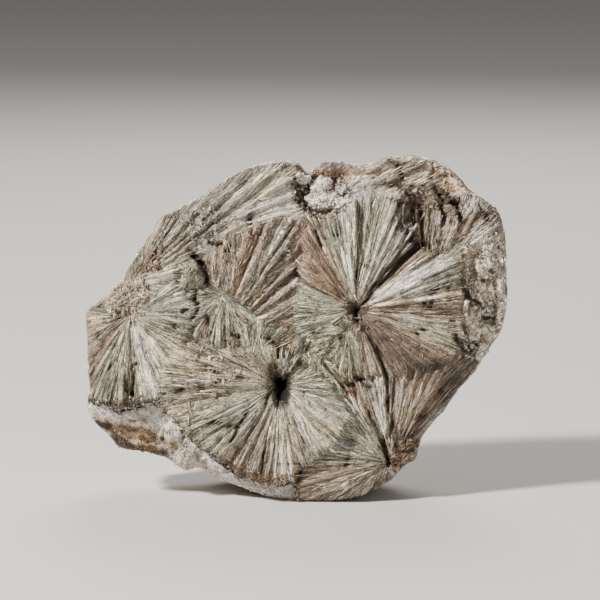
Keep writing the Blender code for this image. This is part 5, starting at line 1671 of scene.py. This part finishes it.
def front_laths(number):
    """All laths of a fan of the front, from the widest and lowest to the finest and highest."""
    fan = FRONT_FANS[number]
    rng = np.random.default_rng((number, FRONT_LATH_SEED))
    groups = []
    for sort in LATH_SORTS:
        laths = fan_laths(fan, number, sort, owner_at, rng)
        base = front_colours(laths[0], np.full(len(laths[0]), number))
        corners, colours, vectors = lath_group(sort, laths, front_at, base, ALL_MARKS, rng)
        if sort is LATH_SORTS[0]:
            flat = corners.reshape(-1, 3)
            vectors = ray_vectors(FRONT_FANS, np.full(len(flat), number), flat[:, :2], flat[:, 2])
        groups.append((corners, colours, vectors))
    return lath_object("laths_" + fan.name, groups, 1)


def back_laths(number):
    """All laths of a fan of the back."""
    fan = BACK_FANS[number]
    rng = np.random.default_rng((number, BACK_LATH_SEED))
    groups = []
    for sort in LATH_SORTS_BACK:
        laths = fan_laths(fan, number, sort, back_owner_at, rng)
        base = np.array(fan.colour) * bumps(laths[0], BACK_TONES, base=1)[:, None]
        groups.append(lath_group(sort, laths, lambda places: -back_at(places), base, (), rng))
    return lath_object("laths_" + fan.name, groups, -1)


def spots_behind(body, count, rng):
    """Random points on a body's back and sides, and a search tree of its surface."""
    corners = points_of(body)
    body.data.calc_loop_triangles()
    triangles = np.array([triangle.vertices for triangle in body.data.loop_triangles])
    surface = BVHTree.FromPolygons(corners.tolist(), triangles.tolist())
    first, second, third = (corners[triangles[:, i]] for i in range(3))
    areas = np.linalg.norm(np.cross(second - first, third - first), axis=1)
    chosen = rng.choice(len(triangles), count, p=areas / areas.sum())
    along, up = rng.uniform(0, 1, (2, len(chosen), 1))
    over = along + up > 1
    along, up = np.where(over, 1 - along, along), np.where(over, 1 - up, up)
    spots = first[chosen] + along * (second - first)[chosen] + up * (third - first)[chosen]
    places, heights = face_places(spots)
    low, high = np.array(CAD_BOX[0]) + RIND_INSET, np.array(CAD_BOX[1]) - RIND_INSET
    low[2] = RIND_FOOT
    keep = (heights < waist(places) + RIND_TOP) & (spots > low).all(1) & (spots < high).all(1)
    return spots[keep], surface


def sizes_between(smallest, spread, power, count, rng):
    """Random sizes, most of them small."""
    return smallest + spread * rng.uniform(0, 1, count) ** power


def rock_grains(body):
    """Small grains over the host rock's back and sides."""
    rng = np.random.default_rng(REAR_GRAIN_SEED)
    spots, _ = spots_behind(body, ROCK_GRAINS, rng)
    sizes = sizes_between(*REAR_GRAIN_SIZES, len(spots), rng)
    points = (spots[:, None] + MM * chip_shapes(sizes, rng)).reshape(-1, 3)
    tone = np.exp(rng.normal(0, REAR_GRAIN_TONE, len(spots)))
    tone[rng.uniform(0, 1, len(spots)) < REAR_GRAIN_DARK_SHARE] *= REAR_GRAIN_DARK_SHADE
    return chip_object("rock_grains", points, points * GRAIN_STREAKS, rock_colours(spots, tone))


def rind_directions(spots, surface, rng):
    """Directions of laths out from scattered middles, their radius, and which middle it is."""
    middles = spots[rng.choice(len(spots), RIND_ROSETTES)]
    bends = [lumpy_3d(spots, RIND_BEND_SIZE, seed) for seed in RIND_BEND_SEEDS]
    bent = spots + RIND_BEND * np.column_stack(bends)
    away = np.linalg.norm(bent[:, None] - middles[None], axis=2)
    nearest, radius = away.argmin(1), away.min(1)
    directions = bent - middles[nearest]
    directions += rng.normal(0, RIND_STRAY, directions.shape) * radius[:, None]
    normals = np.array([surface.find_nearest(spot)[1] for spot in spots.tolist()])
    directions -= (directions * normals).sum(1)[:, None] * normals
    directions /= np.maximum(np.linalg.norm(directions, axis=1), TINY)[:, None]
    return directions, radius, nearest


def rind_sections(spots, surface, directions, lengths, rng):
    """The corners of laths snapped to the surface, in sections as those of the front."""
    half = 0.5 * MM * rng.uniform(*RIND_WIDTHS, len(spots))
    lift = MM * rng.uniform(*RIND_LIFT, len(spots))
    sections = []
    for share, taper in zip(SHORT.shares, SHORT.tapers):
        aims = spots + directions * (lengths * share)[:, None]
        found = [surface.find_nearest(aim)[:2] for aim in aims.tolist()]
        ground = np.array([place for place, normal in found])
        normal = np.array([normal for place, normal in found])
        across = np.cross(normal, directions)
        tip = lift + MM * rng.normal(0, RIND_TIP, len(spots))
        for side in (1, -1):
            sections.append(ground + across * (side * taper * half)[:, None] + normal * tip[:, None])
        sections.append(ground - normal * RIND_DEPTH)
    return keep_in_box(np.stack(sections, axis=1).reshape(-1, 3))


def rind_colours(spots, directions, nearest, rng):
    """One colour for each lath of the rind. It changes from ray to ray and from rosette to rosette. A share
    of the laths is darkened as painted shadow lines and a share brightened as painted glints.
    """
    turn = np.arctan2(directions[:, 2], directions[:, 0])
    rays = [
        noise.noise(Vector((RIND_RAY_TURNS * math.cos(a), RIND_RAY_TURNS * math.sin(a), RIND_RAY_STEP * n)))
        for a, n in zip(turn, nearest)
    ]
    ray_share, spread, rosette_spread = RIND_TONES
    tone = ray_share * np.array(rays) + rng.normal(0, spread, len(spots))
    tone = np.exp(tone + rng.normal(0, rosette_spread, RIND_ROSETTES)[nearest])
    chance = rng.uniform(0, 1, len(spots))
    tone[chance < RIND_SHADOW_LINE_SHARE] *= SHADOW_LINE_TONE
    tone[chance > RIND_GLINT_FROM] *= GLINT_TONE
    return stain_in_space(np.array(RIND_COLOUR), spots, RIND_STAIN) * tone[:, None]


def rind_laths(body):
    """Laths over the back and the sides, in rosettes about scattered middles."""
    rng = np.random.default_rng(RIND_SEED)
    spots, surface = spots_behind(body, 2 * RIND_LATHS, rng)
    places, heights = face_places(spots)
    spots = spots[(back_owner_at(places) < 0) | (heights > BACK_FANS_BELOW)]
    directions, radius, nearest = rind_directions(spots, surface, rng)
    lengths = np.minimum(MM * rng.uniform(*RIND_LENGTHS, len(spots)), MM + RIND_PER_RADIUS * radius)
    points = rind_sections(spots, surface, directions, lengths, rng)
    stations = len(SHORT.shares)
    count = 3 * stations
    faces = (lath_faces(stations)[None] + count * np.arange(len(spots))[:, None, None]).reshape(-1, 3)
    obj = mesh_object("laths_rind", points, faces)
    colours = np.repeat(rind_colours(spots, directions, nearest, rng), count, axis=0)
    across, along = RIND_STREAKS
    streaks = np.stack([
        np.tile((across, -across, 0.0), (len(spots), stations)),
        np.repeat(np.outer(lengths / MM * along, SHORT.shares), 3, axis=1),
        np.zeros((len(spots), count)),
    ], axis=2)
    offsets = rng.uniform(-STREAK_OFFSET, STREAK_OFFSET, (len(spots), 1, 3))
    store_looks(obj, colours, (streaks + offsets).reshape(-1, 3))
    return obj


def patch_sprays(patch, number):
    """Small sprays of short laths over a broken patch."""
    rng = np.random.default_rng((number, SPRAY_SEED))
    laths = spray_laths(patch, rng)
    base = np.array(patch.colour) * bumps(laths[0], SPRAY_TONES, base=1)[:, None]
    group = lath_group(SPRAY_SORT, laths, front_at, base, STRONG_MARKS, rng)
    return lath_object("sprays_" + patch.name, [group], 1)


def flecks():
    """Dark nicks and white flecks over the crystals."""
    rng = np.random.default_rng(FLECK_SEED)
    centres = rng.uniform(OUTLINE_LOOP.min(0), OUTLINE_LOOP.max(0), (2 * FLECKS, 2))
    crowded = bumps(centres, (FLECK_CROWDING,)) + rng.uniform(*FLECK_CHANCE, len(centres)) > 0
    keep = crowded & (owner_at(centres) >= 0) & inside(centres, PLAIN_LOOP)
    keep &= rim_distance(centres) > FLECK_RIM
    centres = centres[keep][:FLECKS]
    angle = rng.uniform(-math.pi, math.pi, len(centres))
    directions = np.column_stack([np.cos(angle), np.sin(angle)])
    lengths = rng.uniform(*FLECK_SORT.lengths, len(centres))
    corners = lath_points(FLECK_SORT, centres, directions, lengths, front_at, rng)
    dark = rng.uniform(0, 1, (len(centres), 1)) < FLECK_DARK_SHARE
    base = np.where(dark, np.array(DARK), np.array(CREAM))
    colours = lath_shades(FLECK_SORT, centres, directions, lengths, base, (), rng)
    vectors = lath_vectors(corners, centres, directions, rng)
    return lath_object("flecks", [(corners, colours, vectors)], 1)


def seam_crumbs():
    """Dark and pale crumbs along the seam. The dark ones are dark crumbs darkened further as painted shade of
    the gap along the seam.
    """
    rng = np.random.default_rng(CRUMB_SEED)
    line = resample(SEAM, SEAM_CRUMB_SPACING)
    places = line + rng.normal(0, SEAM_CRUMB_SPREAD, line.shape)
    places = places[inside(places, PLAIN_LOOP) & (rim_distance(places) > CRUMB_RIM)]
    sizes = rng.uniform(*CRUMB_SIZES, len(places))
    tone = np.exp(rng.normal(0, CRUMB_TONE, len(places)))[:, None]
    pale = rng.uniform(0, 1, (len(places), 1)) < CRUMB_PALE_SHARE
    # The dark crumbs carry painted shade of the seam's gap
    colours = np.where(pale, np.array(PALE), np.array(UMBER) * CRUMB_DARK_SHADE) * tone
    heights = front_at(places) + sizes * rng.uniform(*CRUMB_SINK, len(places))
    return chips("seam_crumbs", places, heights, sizes, colours, rng)


def random_turns(count, rng):
    """Random rotation matrices."""
    w, x, y, z = rng.normal(size=(count, 4)).T
    size = np.sqrt(w * w + x * x + y * y + z * z)
    w, x, y, z = w / size, x / size, y / size, z / size
    rows = [
        [1 - 2 * (y * y + z * z), 2 * (x * y - z * w), 2 * (x * z + y * w)],
        [2 * (x * y + z * w), 1 - 2 * (x * x + z * z), 2 * (y * z - x * w)],
        [2 * (x * z - y * w), 2 * (y * z + x * w), 1 - 2 * (x * x + y * y)],
    ]
    return np.array(rows).transpose(2, 0, 1)


def chip_shapes(sizes, rng):
    """The six corners of each broken chip about its middle, in millimetres."""
    count = len(sizes)
    shape = CHIP_CORNERS[None] * rng.uniform(*CHIP_REACH, (count, 6, 1))
    shape = shape * rng.uniform(*CHIP_STRETCH, (count, 1, 3))
    return np.einsum("nij,nkj->nki", random_turns(count, rng), shape) * sizes[:, None, None]


def chip_object(name, points, vectors, colours):
    """Small broken chips as one mesh of closed eight-sided bodies."""
    triangles = (CHIP_FACES[None] + 6 * np.arange(len(colours))[:, None, None]).reshape(-1, 3)
    obj = mesh_object(name, keep_in_box(points), triangles)
    store_looks(obj, np.repeat(colours, 6, axis=0), vectors)
    return obj


def chips(name, places, heights, sizes, colours, rng):
    """Chips at places and heights over the face."""
    flat = (chip_shapes(sizes, rng) + np.column_stack([places, heights])[:, None, :]).reshape(-1, 3)
    return chip_object(name, set_places(flat[:, :2], flat[:, 2]), flat * CHIP_STREAKS, colours)


def rubble(patch, number):
    """The chips of one broken patch."""
    rng = np.random.default_rng((number, RUBBLE_SEED))
    edge = np.array(patch.edge)
    places = rng.uniform(edge.min(0), edge.max(0), (CHIPS_TRIED * patch.count, 2))
    keep = inside(frayed(places), edge) & inside(places, PLAIN_LOOP) & (rim_distance(places) > CHIP_RIM)
    keep &= ~inside(places, POCKET_LOOP) & ~inside(places, MATRIX_LOOP)
    places = places[keep][: patch.count]
    smallest, largest = patch.sizes
    sizes = sizes_between(smallest, largest - smallest, CHIP_SIZE_POWER, len(places), rng)
    tone = np.exp(rng.normal(0, CHIP_TONE, len(places)))
    colours = np.array(patch.colour) * tone[:, None]
    chance = rng.uniform(0, 1, len(places))
    dark, pale = chance < patch.dark, chance > 1 - PALE_CHIPS
    colours[dark] = DARK_CHIP_SHADE * np.array(BROWN) * tone[dark, None]
    colours[pale] = np.array(PALE) * tone[pale, None]
    colours = marked(colours, places, STRONG_MARKS)
    heights = front_at(places) + sizes * rng.uniform(-CHIP_SINK, CHIP_SINK, len(places))
    return chips("chips_" + patch.name, places, heights, sizes, colours, rng)


def matrix_grains():
    """Small grains over the host rock's front."""
    rng = np.random.default_rng(GRAIN_SEED)
    places = rng.uniform(*GRAIN_REGION, (GRAINS_TRIED, 2))
    keep = inside(places, MATRIX_LOOP) & inside(places, PLAIN_LOOP)
    keep &= line_distance(places, PLAIN_LOOP, closed=True) > GRAIN_RIM
    keep &= line_distance(places, SEAM) > GRAIN_SEAM_GAP
    places = places[keep]
    count = len(places)
    sizes = rng.uniform(*GRAIN_SIZES, count)
    sizes = sizes * np.where(rng.uniform(0, 1, count) < GRAIN_LARGE_SHARE, GRAIN_LARGE, 1.0)
    tone = np.exp(rng.normal(0, GRAIN_TONE, count))
    colours = marked(np.tile(np.array(MATRIX_PALE), (count, 1)), places, MATRIX_MARKS) * tone[:, None]
    colours = stain(colours, lumpy(places, GRAIN_STAIN.size, GRAIN_STAIN.seed), GRAIN_STAIN)
    colours[rng.uniform(0, 1, count) < GRAIN_DARK_SHARE] *= GRAIN_DARK_SHADE
    heights = front_at(places) + sizes * rng.uniform(*GRAIN_SINK, count)
    return chips("matrix_grains", places, heights, sizes, colours, rng)


def crust_places(rng):
    """Places of the crust's crystals, how far the clumps raise them, and whether they lie in the hollow."""
    low, high = POCKET_LOOP.min(0) - CRUST_MARGIN, POCKET_LOOP.max(0) + CRUST_MARGIN
    places = rng.uniform(low, high, (CRUST_TRIED, 2))
    rise = np.zeros(len(places))
    shifted = places + CRUST_RAGGED * (frayed(places) - places)
    for middle, reach, height in NOTCH_CLUMPS:
        away = np.hypot(*((shifted - np.array(middle)) / np.array(reach)).T)
        rise = np.maximum(rise, height * np.sqrt(np.clip(1 - away**2, 0, 1)))
    hollow = inside(places, POCKET_LOOP)
    beside = line_distance(shifted, POCKET_LOOP, closed=True) < CRUST_OVERLAP
    keep = hollow | beside & (rim_distance(places) > CRUST_RIM)
    return places[keep], rise[keep], hollow[keep]


def crust_heights(places, rise, hollow, rng):
    """Heights of the crust's crystals over the face. They climb the wall of the hollow."""
    reach, climb = CRUST_WALL
    wall = np.clip(1 - line_distance(places, POCKET_LOOP, closed=True) / reach, 0, 1) ** 2
    floor = pocket_floor(places) + CRUST_GROUND + climb * wall
    ground = np.where(hollow, floor, front_at(places) - CRUST_SINK)
    heights = bumps(places, (CRUST_BUMPS,), base=ground + np.where(hollow, rise, CRUST_SINK * rise))
    return heights + rng.uniform(-CRUST_SINK, CRUST_SINK, len(places))


def crust_colours(places, rise, rng):
    """White crystals on the clumps, and brown dust between them."""
    tone = np.exp(rng.normal(0, CRUST_TONE, len(places)))
    white = rise > CRUST_WHITE_FROM
    between = lumpy(places, *CRUST_DUST_NOISE) + rng.uniform(-CRUST_CHANCE, CRUST_CHANCE, len(places))
    dust = np.where(between[:, None] > CRUST_DUST_FROM, np.array(CRUST_DUST), np.array(UMBER))
    dust[between < CRUST_DARK_BELOW] = DARK
    colours = np.where(white[:, None], np.array(CRUST_WHITE), dust) * tone[:, None]
    dusty = white & (lumpy(places, *CRUST_DUSTY_NOISE) > CRUST_DUSTY_FROM)
    colours[dusty] = np.array(DUSTY_CRYSTAL) * tone[dusty, None]
    return marked(colours, places, NOTCH_MARKS)


def notch_crust():
    """Crust of small white crystals in clumps in the notch's hollow, with brown dust between them."""
    rng = np.random.default_rng(CRUST_SEED)
    places, rise, hollow = crust_places(rng)
    sizes = sizes_between(*CRUST_SIZES, len(places), rng)
    heights = crust_heights(places, rise, hollow, rng)
    colours = crust_colours(places, rise, rng)
    return chips("notch_crystal_crust", places, heights, sizes, colours, rng)


def ramp(tree, source, stops):
    """A colour ramp of greys fed by a value."""
    made = tree.nodes.new("ShaderNodeValToRGB")
    elements = made.color_ramp.elements
    while len(elements) < len(stops):
        elements.new(0.5)
    for element, (at, grey) in zip(elements, stops):
        element.position = at
        element.color = (grey, grey, grey, 1)
    tree.links.new(source, made.inputs["Fac"])
    return made.outputs["Color"]


def multiply(tree, first, second):
    """First colour times second."""
    made = tree.nodes.new("ShaderNodeMix")
    made.data_type = "RGBA"
    made.blend_type = "MULTIPLY"
    made.inputs["Factor"].default_value = 1.0
    tree.links.new(first, made.inputs["A"])
    tree.links.new(second, made.inputs["B"])
    return made.outputs["Result"]


def noise_texture(tree, vector, scale, detail, roughness):
    """A noise texture fed by a vector."""
    made = tree.nodes.new("ShaderNodeTexNoise")
    made.inputs["Scale"].default_value = scale
    made.inputs["Detail"].default_value = detail
    made.inputs["Roughness"].default_value = roughness
    tree.links.new(vector, made.inputs["Vector"])
    return made.outputs["Fac"]


def stored(tree, name, output):
    """A value stored at the corners of the mesh."""
    made = tree.nodes.new("ShaderNodeAttribute")
    made.attribute_name = name
    return made.outputs[output]


def stone_roughness(tree, streak, gloss):
    """Roughness that falls along the bright streaks."""
    made = tree.nodes.new("ShaderNodeMapRange")
    made.inputs["From Min"].default_value, made.inputs["From Max"].default_value = GLOSS_RANGE
    made.inputs["To Max"].default_value, made.inputs["To Min"].default_value = gloss
    tree.links.new(streak, made.inputs["Value"])
    return made.outputs["Result"]


def stone_bump(tree, streak, speck, bump):
    """Fine relief from the streaks and the grain, of a strength and a depth in millimetres."""
    strength, depth = bump
    made = tree.nodes.new("ShaderNodeBump")
    made.inputs["Strength"].default_value = strength
    made.inputs["Distance"].default_value = depth * MM
    mixed = tree.nodes.new("ShaderNodeMath")
    mixed.operation = "MULTIPLY_ADD"
    mixed.inputs[1].default_value = STREAK_BUMP
    tree.links.new(streak, mixed.inputs[0])
    tree.links.new(speck, mixed.inputs[2])
    tree.links.new(mixed.outputs[0], made.inputs["Height"])
    return made.outputs["Normal"]


def stone_material(name, streaks, grain, gloss, bump):
    """A stone material: the stored tint, streaks along the blades, fine grain and dirt in the pores."""
    material = bpy.data.materials.new(name)
    material.use_nodes = True
    tree = material.node_tree
    shader = tree.nodes["Principled BSDF"]
    place = tree.nodes.new("ShaderNodeTexCoord").outputs["Object"]
    streak = noise_texture(tree, stored(tree, "ray", "Vector"), *STREAK_NOISE)
    speck = noise_texture(tree, place, *SPECK_NOISE)
    blotch = noise_texture(tree, place, *BLOTCH_NOISE)
    streak_greys = (streaks[0], 1.0, streaks[1])
    speck_greys = (grain[0], SPECK_MIDDLE, grain[1])
    colour = multiply(
        tree, stored(tree, "tint", "Color"), ramp(tree, streak, tuple(zip(STREAK_STOPS, streak_greys)))
    )
    colour = multiply(tree, colour, ramp(tree, speck, tuple(zip(SPECK_STOPS, speck_greys))))
    colour = multiply(tree, colour, ramp(tree, blotch, BLOTCH_RAMP))
    tree.links.new(colour, shader.inputs["Base Color"])
    tree.links.new(stone_roughness(tree, streak, gloss), shader.inputs["Roughness"])
    tree.links.new(stone_bump(tree, streak, speck, bump), shader.inputs["Normal"])
    shader.inputs["Specular IOR Level"].default_value = SPECULAR
    return material


def floor_and_lights():
    """A plain pale floor, a soft key light, a fill, a light from behind and a pale surround."""
    bpy.ops.mesh.primitive_plane_add(size=FLOOR_SIZE, location=(0, 0, 0))
    floor = bpy.context.active_object
    floor.name = "floor"
    material = bpy.data.materials.new("floor")
    material.use_nodes = True
    shader = material.node_tree.nodes["Principled BSDF"]
    shader.inputs["Base Color"].default_value = FLOOR_COLOUR
    shader.inputs["Roughness"].default_value = FLOOR_ROUGHNESS
    floor.data.materials.append(material)
    for light in LIGHTS:
        add_light(*light)
    world = bpy.data.worlds.new("surround")
    bpy.context.scene.world = world
    world.use_nodes = True
    background = world.node_tree.nodes["Background"]
    background.inputs["Color"].default_value = SURROUND_COLOUR
    background.inputs["Strength"].default_value = SURROUND_STRENGTH


def add_light(name, place, size, power):
    """A square area light that points at the specimen."""
    data = bpy.data.lights.new(name, "AREA")
    data.size = size
    data.energy = power
    data.color = LIGHT_COLOUR
    light = bpy.data.objects.new(name, data)
    bpy.context.scene.collection.objects.link(light)
    light.location = place
    aim = LIGHT_TARGET - Vector(place)
    light.rotation_euler = aim.to_track_quat("-Z", "Y").to_euler()


def add_camera():
    """The camera, square on to the leaning face."""
    data = bpy.data.cameras.new("camera")
    data.sensor_width = SENSOR
    data.lens = SENSOR * CAMERA_DISTANCE / (PHOTO_WIDTH * PIXEL)
    data.clip_end = CAMERA_REACH
    camera = bpy.data.objects.new("camera", data)
    bpy.context.scene.collection.objects.link(camera)
    camera.location = set_places(np.array([[0.0, VIEW_MIDDLE_V]]), np.array([CAMERA_DISTANCE]))[0]
    camera.rotation_euler = (math.pi / 2 - LEAN, 0, 0)
    bpy.context.scene.camera = camera


def dress(obj, material):
    """Give a piece its material and let it ride."""
    obj.data.materials.clear()
    obj.data.materials.append(material)
    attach(obj, "root")


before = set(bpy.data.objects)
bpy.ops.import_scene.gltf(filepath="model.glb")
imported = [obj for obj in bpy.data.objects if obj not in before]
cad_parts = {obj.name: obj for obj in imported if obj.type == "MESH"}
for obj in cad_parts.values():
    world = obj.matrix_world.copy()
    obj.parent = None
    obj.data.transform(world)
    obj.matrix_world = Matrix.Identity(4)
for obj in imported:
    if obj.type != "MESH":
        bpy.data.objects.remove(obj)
CAD_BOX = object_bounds()


def main():
    """Build the visual model."""
    rosettes, rock = part_at_seam(fine_body())
    paint_body(rosettes, is_crystal=True)
    paint_body(rock, is_crystal=False)
    crystal, stone, white = (stone_material(*kind) for kind in (CRYSTAL, HOST_ROCK, WHITE_CRUST))
    dress(rosettes, crystal)
    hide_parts("pyrophyllite_rosettes")
    dress(rock, stone)
    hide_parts("matrix_rind")
    for number in range(len(FRONT_FANS)):
        dress(front_laths(number), crystal)
    for number in range(len(BACK_FANS)):
        dress(back_laths(number), crystal)
    dress(rind_laths(rosettes), crystal)
    dress(rock_grains(rock), stone)
    for number, patch in enumerate(RUBBLE):
        dress(rubble(patch, number), crystal)
        dress(patch_sprays(patch, number), crystal)
    dress(flecks(), crystal)
    dress(seam_crumbs(), crystal)
    dress(matrix_grains(), stone)
    crust = notch_crust()
    dress(crust, white)
    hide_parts("notch_crystals")
    floor_and_lights()
    add_camera()


main()
